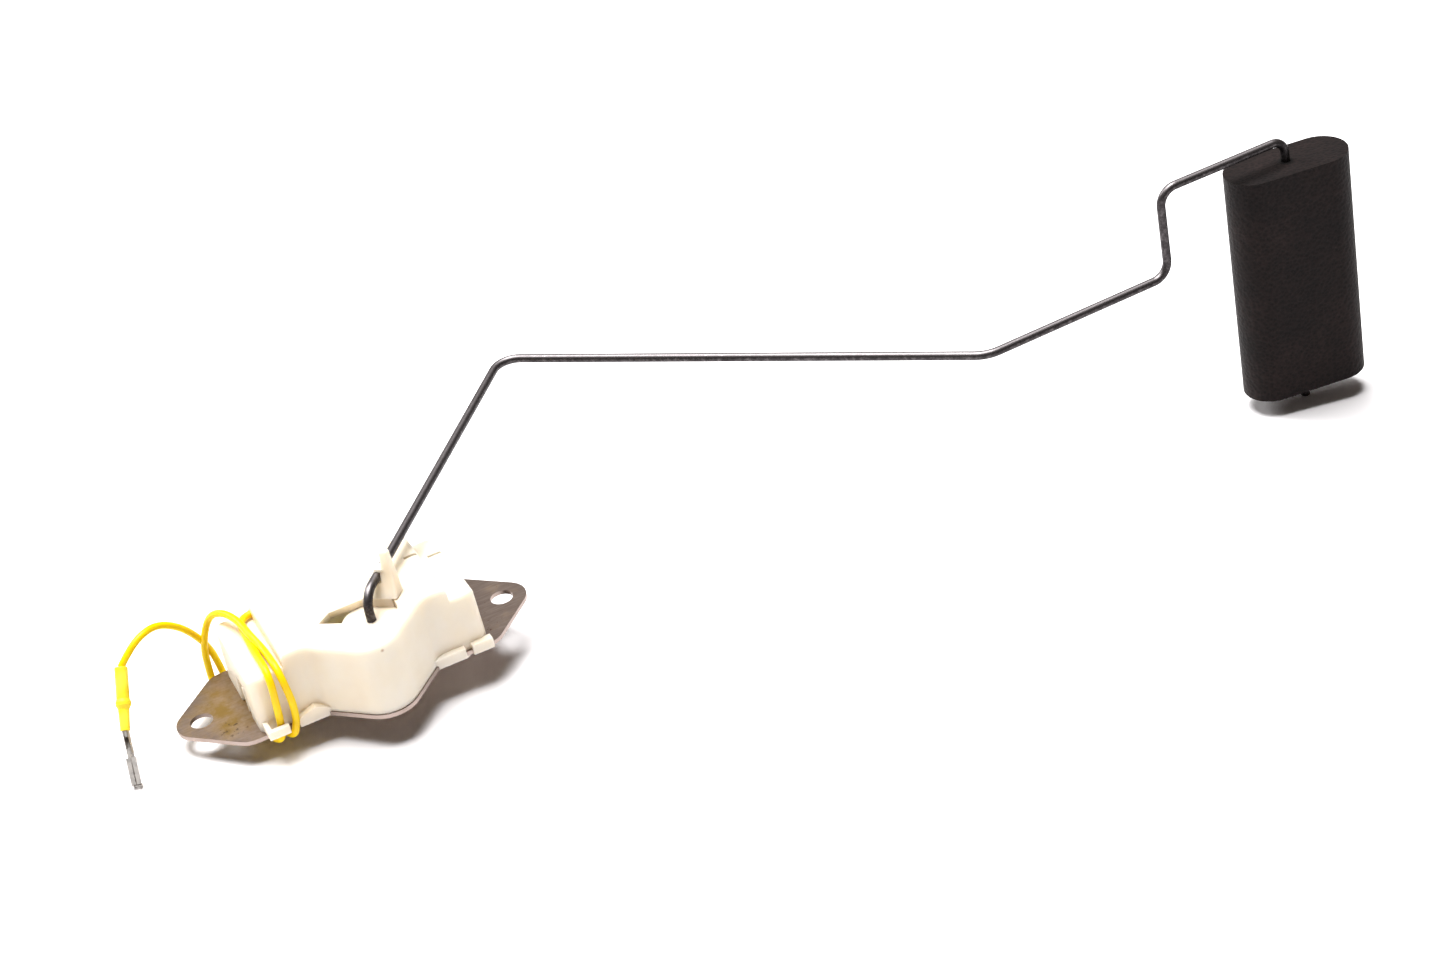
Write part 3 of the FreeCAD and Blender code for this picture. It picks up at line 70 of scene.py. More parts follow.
# Upright axes of the pivot and the float's bore, then the middles of the marks that the photo shows.
PIVOT = Vector((5.2, -13.3, 0.0)) * MM
FLOAT_AXIS = Vector((287.5, -14.47, 0.0)) * MM
GATE_MARK = Vector((2.9, -29.2, 20.0)) * MM
OLIVE_STAIN = Vector((-33.0, 4.0, 0.0)) * MM
SCUFFED_SPOT = Vector((-38.0, -9.0, 0.0)) * MM
RUSTY_SPOT = Vector((36.5, -10.5, 0.0)) * MM

# The resistor's winding, in millimetres, with its turns drawn four times as far apart as they are.
WINDING_RADIUS = 9.6
TURN_SPACING = 0.4

# The photo's camera, fitted to both fixing holes, the wire's width and the float's upright edges.
CAMERA_PLACE = (-0.10637, -0.65666, 0.45526)
CAMERA_TURN = [math.radians(angle) for angle in (56.6247, 10.155, -24.9612)]

# The table, with the place along it where the terminal's tip rests.
TABLE_REACH = 3.0
TERMINAL_TIP = -64.6 * MM

# Lights, placed from the spot that they face, with the back one's share of the softbox's power.
LIT_SPOT = Vector((0.08, 0.0, 0.0))
SOFTBOX_HEIGHT = 3.0
SOFTBOX_SHIFT = Vector((-0.25, 0.45, 0.0))
SOFTBOX_SIZE = 2.0
BACK_BOX_PLACE = Vector((-1.8, 2.2, 2.0))
BACK_BOX_SIZE = 1.2
BACK_BOX_SHARE = 0.27
SURROUND_STRENGTH = 0.1

# A Mix node numbers its sockets, and these are the ones that it uses for colours.
SHARE, UNDER, OVER, MIXED = 0, 6, 7, 2

# A wave texture turns by this many radians along each unit of its scale.
WAVE_RADIANS = 20


def linear(text):
    """Linear colour from an sRGB hex value such as 'E8DCC8'."""
    channels = [int(text[index:index + 2], 16) / 255 for index in (0, 2, 4)]
    return [c / 12.92 if c <= 0.04045 else ((c + 0.055) / 1.055) ** 2.4 for c in channels] + [1.0]


def add_node(tree, kind, settings=None, inputs=None, stops=None):
    """Add a node with its settings, its inputs set or linked and its colour stops, end ones first."""
    node = tree.nodes.new(kind)
    for name, value in (settings or {}).items():
        setattr(node, name, value)
    for name, value in (inputs or {}).items():
        if isinstance(value, bpy.types.NodeSocket):
            tree.links.new(value, node.inputs[name])
        else:
            node.inputs[name].default_value = value
    for number, (place, colour) in enumerate(stops or []):
        elements = node.color_ramp.elements
        element = elements[number] if number < 2 else elements.new(place)
        element.position = place
        element.color = linear(colour)
    return node


def start_material(name, colour, settings):
    """A material with one Principled shader, returned with its node tree and shader."""
    material = bpy.data.materials.new(name)
    material.use_nodes = True
    material.diffuse_color = colour
    shader = material.node_tree.nodes["Principled BSDF"]
    shader.inputs["Base Color"].default_value = colour
    for key, value in settings.items():
        shader.inputs[key].default_value = value
    return material, material.node_tree, shader


def natural_acetal():
    """Injection-moulded natural acetal: waxy off-white with a satin skin, aged towards cream."""
    material, tree, shader = start_material("natural_acetal", linear("F3E6D2"), {
        "Roughness": 0.42, "IOR": 1.48, "Subsurface Weight": 0.5, "Subsurface Scale": 0.007,
        "Subsurface Radius": (1.0, 0.85, 0.65)})
    place = add_node(tree, "ShaderNodeTexCoord").outputs["Object"]
    # Flow clouds 15 mm across, where the melt cooled unevenly.
    clouds = add_node(tree, "ShaderNodeTexNoise", inputs={
        "Vector": place, "Scale": 1 / (15 * MM), "Detail": 4.0})
    cream = add_node(tree, "ShaderNodeValToRGB", inputs={"Fac": clouds.outputs["Fac"]}, stops=[
        (0.3, "EBD8BE"), (0.75, "F2E5D3"), (0.5, "EEDEC7")])
    # The gate mark, 1 mm across, on the front of the round nose.
    mark = add_node(tree, "ShaderNodeVectorMath", {"operation": "DISTANCE"}, {0: place, 1: GATE_MARK})
    fade = add_node(tree, "ShaderNodeMapRange", inputs={
        "Value": mark.outputs["Value"],
        "From Min": 0.3 * MM, "From Max": 0.7 * MM, "To Min": 0.7, "To Max": 0.0})
    marked = add_node(tree, "ShaderNodeMix", {"data_type": "RGBA"}, {
        SHARE: fade.outputs["Result"], UNDER: cream.outputs["Color"], OVER: linear("8A5A34")})
    tree.links.new(marked.outputs[MIXED], shader.inputs["Base Color"])
    gloss = add_node(tree, "ShaderNodeMapRange", inputs={
        "Value": clouds.outputs["Fac"],
        "From Min": 0.3, "From Max": 0.7, "To Min": 0.36, "To Max": 0.5})
    tree.links.new(gloss.outputs["Result"], shader.inputs["Roughness"])
    # Spark texture of the mould, drawn 0.5 mm across so that it shows; the real grain is far finer.
    grain = add_node(tree, "ShaderNodeTexNoise", inputs={
        "Vector": place, "Scale": 1 / (0.5 * MM), "Detail": 2.0})
    relief = add_node(tree, "ShaderNodeBump", inputs={
        "Height": grain.outputs["Fac"], "Distance": 0.01 * MM, "Strength": 0.35})
    tree.links.new(relief.outputs["Normal"], shader.inputs["Normal"])
    return material


def zinc_plated_steel():
    """Stamped zinc-plated sheet: warm grey satin, olive stains and dark specks, an even cut edge lightened
    by a painted highlight.
    """
    material, tree, shader = start_material("zinc_plated_steel", linear("9A8A7E"), {
        "Roughness": 0.4, "Metallic": 1.0})
    coordinates = add_node(tree, "ShaderNodeTexCoord")
    place = coordinates.outputs["Object"]
    # Rolling marks 6 mm long, drawn 0.7 mm wide so that they show.
    rolled = add_node(tree, "ShaderNodeMapping", inputs={
        "Vector": place, "Rotation": (0.0, 0.0, 0.35), "Scale": (1.0, 9.0, 1.0)})
    lines = add_node(tree, "ShaderNodeTexNoise", inputs={
        "Vector": rolled.outputs["Vector"], "Scale": 1 / (6 * MM), "Detail": 5.0, "Roughness": 0.6})
    zinc = add_node(tree, "ShaderNodeValToRGB", inputs={"Fac": lines.outputs["Fac"]}, stops=[
        (0.25, "87776E"), (0.8, "A6968C"), (0.55, "97877D")])
    # Stains up to 8 mm across, stronger within 24 mm of the olive one's middle.
    blotch = add_node(tree, "ShaderNodeTexNoise", inputs={
        "Vector": place, "Scale": 1 / (8 * MM), "Detail": 5.0, "Roughness": 0.6})
    from_stain = add_node(tree, "ShaderNodeVectorMath", {"operation": "DISTANCE"}, {
        0: place, 1: OLIVE_STAIN})
    nearness = add_node(tree, "ShaderNodeMapRange", inputs={
        "Value": from_stain.outputs["Value"],
        "From Min": 6 * MM, "From Max": 24 * MM, "To Min": 0.3, "To Max": 0.0})
    soiling = add_node(tree, "ShaderNodeMath", {"operation": "ADD"}, {
        0: blotch.outputs["Fac"], 1: nearness.outputs["Result"]})
    stain = add_node(tree, "ShaderNodeMapRange", inputs={
        "Value": soiling.outputs["Value"],
        "From Min": 0.52, "From Max": 0.86, "To Min": 0.0, "To Max": 0.9})
    stained = add_node(tree, "ShaderNodeMix", {"data_type": "RGBA"}, {
        SHARE: stain.outputs["Result"], UNDER: zinc.outputs["Color"], OVER: linear("6C551F")})
    # Black scuffs and rust specks about 0.8 mm across, crowded at two worn spots of the front edge.
    dots = add_node(tree, "ShaderNodeTexNoise", inputs={
        "Vector": place, "Scale": 1 / (1.6 * MM), "Detail": 3.0, "Roughness": 0.7})
    specked = stained
    for middle, reach, colour in ((SCUFFED_SPOT, 7 * MM, "2A2320"), (RUSTY_SPOT, 5 * MM, "5A3018")):
        spot = add_node(tree, "ShaderNodeVectorMath", {"operation": "DISTANCE"}, {0: place, 1: middle})
        crowd = add_node(tree, "ShaderNodeMapRange", inputs={
            "Value": spot.outputs["Value"],
            "From Min": 0.0, "From Max": reach, "To Min": 0.2, "To Max": 0.0})
        dense = add_node(tree, "ShaderNodeMath", {"operation": "ADD"}, {
            0: dots.outputs["Fac"], 1: crowd.outputs["Result"]})
        speck = add_node(tree, "ShaderNodeMapRange", inputs={
            "Value": dense.outputs["Value"],
            "From Min": 0.69, "From Max": 0.77, "To Min": 0.0, "To Max": 0.85})
        specked = add_node(tree, "ShaderNodeMix", {"data_type": "RGBA"}, {
            SHARE: speck.outputs["Result"], UNDER: specked.outputs[MIXED], OVER: linear(colour)})
    # The cut edge is even, because no stain holds on its sheared face, and lighter: a painted highlight
    # where the sheared face catches the light.
    facing = add_node(tree, "ShaderNodeSeparateXYZ", inputs={"Vector": coordinates.outputs["Normal"]})
    upright = add_node(tree, "ShaderNodeMath", {"operation": "ABSOLUTE"}, {0: facing.outputs["Z"]})
    edge = add_node(tree, "ShaderNodeMapRange", inputs={
        "Value": upright.outputs["Value"],
        "From Min": 0.4, "From Max": 0.8, "To Min": 0.8, "To Max": 0.0})
    edge_highlighted = add_node(tree, "ShaderNodeMix", {"data_type": "RGBA"}, {
        SHARE: edge.outputs["Result"], UNDER: specked.outputs[MIXED], OVER: linear("A0918A")})
    tree.links.new(edge_highlighted.outputs[MIXED], shader.inputs["Base Color"])
    dull = add_node(tree, "ShaderNodeMapRange", inputs={
        "Value": stain.outputs["Result"],
        "From Min": 0.0, "From Max": 0.85, "To Min": 0.36, "To Max": 0.55})
    tree.links.new(dull.outputs["Result"], shader.inputs["Roughness"])
    relief = add_node(tree, "ShaderNodeBump", inputs={
        "Height": lines.outputs["Fac"], "Distance": 0.02 * MM, "Strength": 0.4})
    tree.links.new(relief.outputs["Normal"], shader.inputs["Normal"])
    return material


def spring_steel_wire():
    """Drawn spring steel, its dark oxide worn to bare metal in small ragged patches."""
    material, tree, shader = start_material("spring_steel_wire", linear("6E6868"), {
        "Roughness": 0.4, "Metallic": 1.0})
    coordinates = add_node(tree, "ShaderNodeTexCoord")
    place = coordinates.outputs["Object"]
    # Worn patches 1.5 mm across, ragged at their edges; the finer draw scratches wouldn't show.
    wear = add_node(tree, "ShaderNodeTexNoise", inputs={
        "Vector": place, "Scale": 1 / (1.5 * MM), "Detail": 6.0, "Roughness": 0.75})
    worn = add_node(tree, "ShaderNodeValToRGB", inputs={"Fac": wear.outputs["Fac"]}, stops=[
        (0.32, "292627"), (0.78, "8F8A8A"), (0.5, "3C393A"), (0.63, "575354")])
    # Painted light: the upper side of the level runs is lightened towards a pale grey, where the overhead
    # light falls on it.
    facing = add_node(tree, "ShaderNodeSeparateXYZ", inputs={"Vector": coordinates.outputs["Normal"]})
    top_light = add_node(tree, "ShaderNodeMapRange", inputs={
        "Value": facing.outputs["Z"],
        "From Min": 0.3, "From Max": 0.95, "To Min": 0.0, "To Max": 0.5})
    bright = add_node(tree, "ShaderNodeMix", {"data_type": "RGBA"}, {
        SHARE: top_light.outputs["Result"], UNDER: worn.outputs["Color"], OVER: linear("9A9495")})
    tree.links.new(bright.outputs[MIXED], shader.inputs["Base Color"])
    gloss = add_node(tree, "ShaderNodeMapRange", inputs={
        "Value": wear.outputs["Fac"],
        "From Min": 0.3, "From Max": 0.75, "To Min": 0.5, "To Max": 0.34})
    tree.links.new(gloss.outputs["Result"], shader.inputs["Roughness"])
    relief = add_node(tree, "ShaderNodeBump", inputs={
        "Height": wear.outputs["Fac"], "Distance": 0.03 * MM, "Strength": 0.4})
    tree.links.new(relief.outputs["Normal"], shader.inputs["Normal"])
    return material


def nitrile_foam():
    """Closed-cell nitrile foam, sawn to shape: matt brown-black, fine cut cells, lighter scuffs."""
    material, tree, shader = start_material("nitrile_foam", linear("211C1C"), {
        "Roughness": 0.8, "IOR": 1.5, "Specular IOR Level": 0.15,
        "Sheen Weight": 0.08, "Sheen Roughness": 0.4})
    place = add_node(tree, "ShaderNodeTexCoord").outputs["Object"]
    # Scuffed patches 14 mm across.
    patch = add_node(tree, "ShaderNodeTexNoise", inputs={
        "Vector": place, "Scale": 1 / (14 * MM), "Detail": 6.0, "Roughness": 0.65})
    shade = add_node(tree, "ShaderNodeValToRGB", inputs={"Fac": patch.outputs["Fac"]}, stops=[
        (0.3, "0D0808"), (0.8, "1F1615"), (0.55, "140D0C")])
    # Cut cells drawn 1.1 mm across so that they show; the real ones are about 0.2 mm.
    cells = add_node(tree, "ShaderNodeTexVoronoi", inputs={"Vector": place, "Scale": 1 / (1.1 * MM)})
    pit = add_node(tree, "ShaderNodeMapRange", inputs={
        "Value": cells.outputs["Distance"],
        "From Min": 0.05, "From Max": 0.7, "To Min": 0.45, "To Max": 1.5})
    pitted = add_node(tree, "ShaderNodeMix", {"data_type": "RGBA", "blend_type": "MULTIPLY"}, {
        SHARE: 1.0, UNDER: shade.outputs["Color"], OVER: pit.outputs["Result"]})
    # Painted shade of the gap round the wire: near-black where the wire enters the bore, out to 2.6 mm
    # from the wire's middle.
    level = add_node(tree, "ShaderNodeVectorMath", {"operation": "MULTIPLY"}, {
        0: place, 1: (1.0, 1.0, 0.0)})
    reach = add_node(tree, "ShaderNodeVectorMath", {"operation": "DISTANCE"}, {
        0: level.outputs["Vector"], 1: FLOAT_AXIS})
    gap_shade = add_node(tree, "ShaderNodeMapRange", inputs={
        "Value": reach.outputs["Value"],
        "From Min": 1.8 * MM, "From Max": 2.6 * MM, "To Min": 0.9, "To Max": 0.0})
    gap_shaded = add_node(tree, "ShaderNodeMix", {"data_type": "RGBA"}, {
        SHARE: gap_shade.outputs["Result"], UNDER: pitted.outputs[MIXED], OVER: linear("0A0808")})
    tree.links.new(gap_shaded.outputs[MIXED], shader.inputs["Base Color"])
    relief = add_node(tree, "ShaderNodeBump", inputs={
        "Height": cells.outputs["Distance"], "Distance": 0.2 * MM, "Strength": 0.7})
    tree.links.new(relief.outputs["Normal"], shader.inputs["Normal"])
    return material


def yellow_pvc():
    """Extruded PVC insulation: even strong yellow with a soft gloss and light handling marks."""
    material, tree, shader = start_material("yellow_pvc", linear("F7C600"), {
        "Roughness": 0.38, "IOR": 1.53, "Specular IOR Level": 0.22})
    place = add_node(tree, "ShaderNodeTexCoord").outputs["Object"]
    # The dye varies over 6 mm, and handling leaves marks 2 mm across.
    tone = add_node(tree, "ShaderNodeTexNoise", inputs={
        "Vector": place, "Scale": 1 / (6 * MM), "Detail": 4.0})
    tint = add_node(tree, "ShaderNodeValToRGB", inputs={"Fac": tone.outputs["Fac"]}, stops=[
        (0.3, "E8BE00"), (0.75, "F6D800"), (0.5, "F0CC00")])
    tree.links.new(tint.outputs["Color"], shader.inputs["Base Color"])
    marks = add_node(tree, "ShaderNodeTexNoise", inputs={
        "Vector": place, "Scale": 1 / (2 * MM), "Detail": 3.0})
    gloss = add_node(tree, "ShaderNodeMapRange", inputs={
        "Value": marks.outputs["Fac"],
        "From Min": 0.3, "From Max": 0.7, "To Min": 0.3, "To Max": 0.46})
    tree.links.new(gloss.outputs["Result"], shader.inputs["Roughness"])
    relief = add_node(tree, "ShaderNodeBump", inputs={
        "Height": marks.outputs["Fac"], "Distance": 0.03 * MM, "Strength": 0.35})
    tree.links.new(relief.outputs["Normal"], shader.inputs["Normal"])
    return material


def shrunk_sleeve():
    """Heat-shrunk polyolefin sleeve: paler lemon yellow, matt, drawn into faint rings round the lead."""
    material, tree, shader = start_material("shrunk_sleeve", linear("FBE232"), {
        "Roughness": 0.5, "IOR": 1.5, "Specular IOR Level": 0.4})
    place = add_node(tree, "ShaderNodeTexCoord").outputs["Object"]
    # Shrink wrinkles 7.5 mm apart, which is 1.2 mm to the radian, along the sleeve's own slope.
    turned = add_node(tree, "ShaderNodeMapping", inputs={"Vector": place, "Rotation": (0.75, 0.3, 0.0)})
    rings = add_node(tree, "ShaderNodeTexWave", {"wave_type": "BANDS", "bands_direction": "Z"}, {
        "Vector": turned.outputs["Vector"], "Scale": 1 / (1.2 * MM) / WAVE_RADIANS,
        "Distortion": 3.0, "Detail": 2.0})
    tint = add_node(tree, "ShaderNodeValToRGB", inputs={"Fac": rings.outputs["Fac"]}, stops=[
        (0.2, "F4D420"), (0.8, "FCE640")])
    tree.links.new(tint.outputs["Color"], shader.inputs["Base Color"])
    dull = add_node(tree, "ShaderNodeMapRange", inputs={
        "Value": rings.outputs["Fac"],
        "From Min": 0.0, "From Max": 1.0, "To Min": 0.55, "To Max": 0.42})
    tree.links.new(dull.outputs["Result"], shader.inputs["Roughness"])
    relief = add_node(tree, "ShaderNodeBump", inputs={
        "Height": rings.outputs["Fac"], "Distance": 0.08 * MM, "Strength": 0.5})
    tree.links.new(relief.outputs["Normal"], shader.inputs["Normal"])
    return material


def tinned_brass():
    """Tin-plated brass strip, stamped and folded: bright where it is smooth, grey where handled."""
    material, tree, shader = start_material("tinned_brass", linear("CFCAC4"), {
        "Roughness": 0.32, "Metallic": 1.0})
    place = add_node(tree, "ShaderNodeTexCoord").outputs["Object"]
    # Fingermarks 1.8 mm across.
    tarnish = add_node(tree, "ShaderNodeTexNoise", inputs={
        "Vector": place, "Scale": 1 / (1.8 * MM), "Detail": 4.0})
    tin = add_node(tree, "ShaderNodeValToRGB", inputs={"Fac": tarnish.outputs["Fac"]}, stops=[
        (0.3, "BFB9B3"), (0.7, "F6F3EF"), (0.5, "E2DDD8")])
    tree.links.new(tin.outputs["Color"], shader.inputs["Base Color"])
    gloss = add_node(tree, "ShaderNodeMapRange", inputs={
        "Value": tarnish.outputs["Fac"],
        "From Min": 0.3, "From Max": 0.75, "To Min": 0.46, "To Max": 0.24})
    tree.links.new(gloss.outputs["Result"], shader.inputs["Roughness"])
    return material


def turned_brass():
    """Brass turned from bar: warm yellow, with the tool's rings and a soft gloss."""
    material, tree, shader = start_material("turned_brass", linear("B8924A"), {
        "Roughness": 0.3, "Metallic": 1.0})
    place = add_node(tree, "ShaderNodeTexCoord").outputs["Object"]
    # Tool rings drawn 1.9 mm apart, 0.3 mm to the radian, so that they show; the real ones are far finer.
    rings = add_node(tree, "ShaderNodeTexWave", {"wave_type": "BANDS", "bands_direction": "Z"}, {
        "Vector": place, "Scale": 1 / (0.3 * MM) / WAVE_RADIANS, "Distortion": 0.6})
    metal = add_node(tree, "ShaderNodeValToRGB", inputs={"Fac": rings.outputs["Fac"]}, stops=[
        (0.2, "9A7738"), (0.8, "C7A45C")])
    tree.links.new(metal.outputs["Color"], shader.inputs["Base Color"])
    gloss = add_node(tree, "ShaderNodeMapRange", inputs={
        "Value": rings.outputs["Fac"],
        "From Min": 0.0, "From Max": 1.0, "To Min": 0.4, "To Max": 0.26})
    tree.links.new(gloss.outputs["Result"], shader.inputs["Roughness"])
    return material


def phosphor_bronze():
    """Rolled phosphor bronze strip: coppery, with fine rolling lines and a light oxide."""
    material, tree, shader = start_material("phosphor_bronze", linear("A8744C"), {
        "Roughness": 0.34, "Metallic": 1.0})
    place = add_node(tree, "ShaderNodeTexCoord").outputs["Object"]
    # Rolling lines 2.5 mm long and a tenth as wide.
    drawn = add_node(tree, "ShaderNodeMapping", inputs={"Vector": place, "Scale": (1.0, 10.0, 1.0)})
    lines = add_node(tree, "ShaderNodeTexNoise", inputs={
        "Vector": drawn.outputs["Vector"], "Scale": 1 / (2.5 * MM), "Detail": 4.0})
    metal = add_node(tree, "ShaderNodeValToRGB", inputs={"Fac": lines.outputs["Fac"]}, stops=[
        (0.3, "8A5A38"), (0.7, "B98459")])
    tree.links.new(metal.outputs["Color"], shader.inputs["Base Color"])
    gloss = add_node(tree, "ShaderNodeMapRange", inputs={
        "Value": lines.outputs["Fac"],
        "From Min": 0.3, "From Max": 0.7, "To Min": 0.42, "To Max": 0.28})
    tree.links.new(gloss.outputs["Result"], shader.inputs["Roughness"])
    return material


def phenolic_paper():
    """Pressed phenolic paper laminate in its natural tan, with a faint paper fibre."""
    material, tree, shader = start_material("phenolic_paper", linear("C79A6C"), {
        "Roughness": 0.5, "IOR": 1.6})
    place = add_node(tree, "ShaderNodeTexCoord").outputs["Object"]
    # Fibres 1 mm long and a sixth as wide.
    drawn = add_node(tree, "ShaderNodeMapping", inputs={"Vector": place, "Scale": (1.0, 1.0, 6.0)})
    fibre = add_node(tree, "ShaderNodeTexNoise", inputs={
        "Vector": drawn.outputs["Vector"], "Scale": 1 / MM, "Detail": 5.0})
    paper = add_node(tree, "ShaderNodeValToRGB", inputs={"Fac": fibre.outputs["Fac"]}, stops=[
        (0.3, "B48455"), (0.7, "D6AC80")])
    tree.links.new(paper.outputs["Color"], shader.inputs["Base Color"])
    gloss = add_node(tree, "ShaderNodeMapRange", inputs={
        "Value": fibre.outputs["Fac"],
        "From Min": 0.3, "From Max": 0.7, "To Min": 0.56, "To Max": 0.42})
    tree.links.new(gloss.outputs["Result"], shader.inputs["Roughness"])
    return material


def resistance_wire():
    """Nickel-chrome wire wound side by side, drawn with its turns further apart so that they show."""
    material, tree, shader = start_material("resistance_wire", linear("8C857A"), {
        "Roughness": 0.35, "Metallic": 1.0})
    place = add_node(tree, "ShaderNodeTexCoord").outputs["Object"]
    # The turns stand upright round the card, so they are spokes about the pivot.
    centred = add_node(tree, "ShaderNodeVectorMath", {"operation": "SUBTRACT"}, {0: place, 1: PIVOT})
    parts = add_node(tree, "ShaderNodeSeparateXYZ", inputs={"Vector": centred.outputs["Vector"]})
    angle = add_node(tree, "ShaderNodeMath", {"operation": "ARCTAN2"}, {
        0: parts.outputs["Y"], 1: parts.outputs["X"]})
    count = add_node(tree, "ShaderNodeMath", {"operation": "MULTIPLY"}, {
        0: angle.outputs["Value"], 1: 2 * math.pi * WINDING_RADIUS / TURN_SPACING})
    turns = add_node(tree, "ShaderNodeMath", {"operation": "SINE"}, {0: count.outputs["Value"]})
    spread = add_node(tree, "ShaderNodeMapRange", inputs={
        "Value": turns.outputs["Value"],
        "From Min": -1.0, "From Max": 1.0, "To Min": 0.0, "To Max": 1.0})
    metal = add_node(tree, "ShaderNodeValToRGB", inputs={"Fac": spread.outputs["Result"]}, stops=[
        (0.15, "5A534A"), (0.8, "B0A89B")])
    tree.links.new(metal.outputs["Color"], shader.inputs["Base Color"])
    relief = add_node(tree, "ShaderNodeBump", inputs={
        "Height": spread.outputs["Result"], "Distance": 0.1 * MM, "Strength": 0.7})
    tree.links.new(relief.outputs["Normal"], shader.inputs["Normal"])
    return material


def dress(finish, *nodes):
    """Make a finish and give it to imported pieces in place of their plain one."""
    material = finish()
    for node in nodes:
        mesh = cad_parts[node].data
        mesh.materials.clear()
        mesh.materials.append(material)
    return material


class SenderStageSettings(bpy.types.PropertyGroup):
    """Camera, floor and light of the stage."""
    floor_colour: bpy.props.FloatVectorProperty(
        name="Floor colour", description="Pale studio floor", subtype="COLOR", size=4,
        default=linear("F7F5F6"), min=0.0, max=1.0)
    floor_tilt: bpy.props.FloatProperty(
        name="Floor tilt", description="Slope of the table against the plate, down towards the float",
        default=math.radians(4.38), subtype="ANGLE")
    floor_at_terminal: bpy.props.FloatProperty(
        name="Floor height", description="Table height under the lead's terminal", default=-4.2 * MM,
        unit="LENGTH", subtype="DISTANCE")
    lens: bpy.props.FloatProperty(
        name="Lens", description="Focal length for a 36 mm sensor", default=74.969, min=10.0,
        unit="CAMERA")
    softbox_power: bpy.props.FloatProperty(
        name="Softbox power", description="Overhead softbox", default=225.0, subtype="POWER")


class SenderLeadSettings(bpy.types.PropertyGroup):
    """The lead's insulation."""
    diameter: bpy.props.FloatProperty(
        name="Lead diameter", description="Outer diameter of the insulation", default=LEAD_DIAMETER,
        unit="LENGTH", subtype="DISTANCE")


class SENDER_OT_mouldings(bpy.types.Operator):
    """Finish the housing and the rotor that turns in it"""
    bl_idname = "sender.mouldings"
    bl_label = "Mouldings"

    def execute(self, context):
        dress(natural_acetal, "housing_cover", "rotor_hub")
        return {"FINISHED"}


class SENDER_OT_plate(bpy.types.Operator):
    """Finish the mounting plate"""
    bl_idname = "sender.plate"
    bl_label = "Mounting plate"

    def execute(self, context):
        dress(zinc_plated_steel, "mounting_plate")
        return {"FINISHED"}


class SENDER_OT_arm(bpy.types.Operator):
    """Finish the arm wire and the retainer on its end"""
    bl_idname = "sender.arm"
    bl_label = "Arm"

    def execute(self, context):
        dress(spring_steel_wire, "arm_wire", "float_retainer")
        return {"FINISHED"}


class SENDER_OT_foam_float(bpy.types.Operator):
    """Finish the foam float"""
    bl_idname = "sender.foam_float"
    bl_label = "Float"

    def execute(self, context):
        dress(nitrile_foam, "float")
        return {"FINISHED"}


class SENDER_OT_lead(bpy.types.Operator):
    """Lay the lead along its route, and finish its sleeve and its hidden end"""
    bl_idname = "sender.lead"
    bl_label = "Lead"

    def execute(self, context):
        insulation = dress(yellow_pvc, "lead_wire", "inner_lead")
        dress(shrunk_sleeve, "splice_sleeve")
        curve = bpy.data.curves.new("lead", "CURVE")
        curve.dimensions = "3D"
        curve.bevel_depth = context.scene.sender_lead.diameter / 2
        curve.bevel_resolution = 6
        curve.resolution_u = 10
        curve.use_fill_caps = True
        spline = curve.splines.new("NURBS")
        spline.points.add(len(LEAD_ROUTE) - 1)
        for point, place in zip(spline.points, LEAD_ROUTE):
            point.co = (*(Vector(place) * MM), 1.0)
        spline.order_u = 3
        spline.use_endpoint_u = True
        curve.materials.append(insulation)
        lead = bpy.data.objects.new("lead", curve)
        context.scene.collection.objects.link(lead)
        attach(lead, "base")
        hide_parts("lead_wire")
        return {"FINISHED"}


class SENDER_OT_terminals(bpy.types.Operator):
    """Finish the crimped socket and the tag inside"""
    bl_idname = "sender.terminals"
    bl_label = "Terminals"

    def execute(self, context):
        dress(tinned_brass, "crimp_terminal", "live_terminal")
        return {"FINISHED"}


class SENDER_OT_turned_pieces(bpy.types.Operator):
    """Finish the bush, rivets, eyelets and contact"""
    bl_idname = "sender.turned_pieces"
    bl_label = "Turned pieces"

    def execute(self, context):
        dress(turned_brass, "pivot_bush", "spring_rivet", "card_eyelets", "wiper_contact", "wiper_rivets")
        return {"FINISHED"}


class SENDER_OT_springs(bpy.types.Operator):
    """Finish the ground spring and the wiper's blade"""
    bl_idname = "sender.springs"
    bl_label = "Springs"

    def execute(self, context):
        dress(phosphor_bronze, "ground_spring", "wiper_blade")
        return {"FINISHED"}


class SENDER_OT_resistor(bpy.types.Operator):
    """Finish the resistor's card and its winding"""
    bl_idname = "sender.resistor"
    bl_label = "Resistor"

    def execute(self, context):
        dress(phenolic_paper, "resistor_card")
        dress(resistance_wire, "resistor_winding")
        return {"FINISHED"}


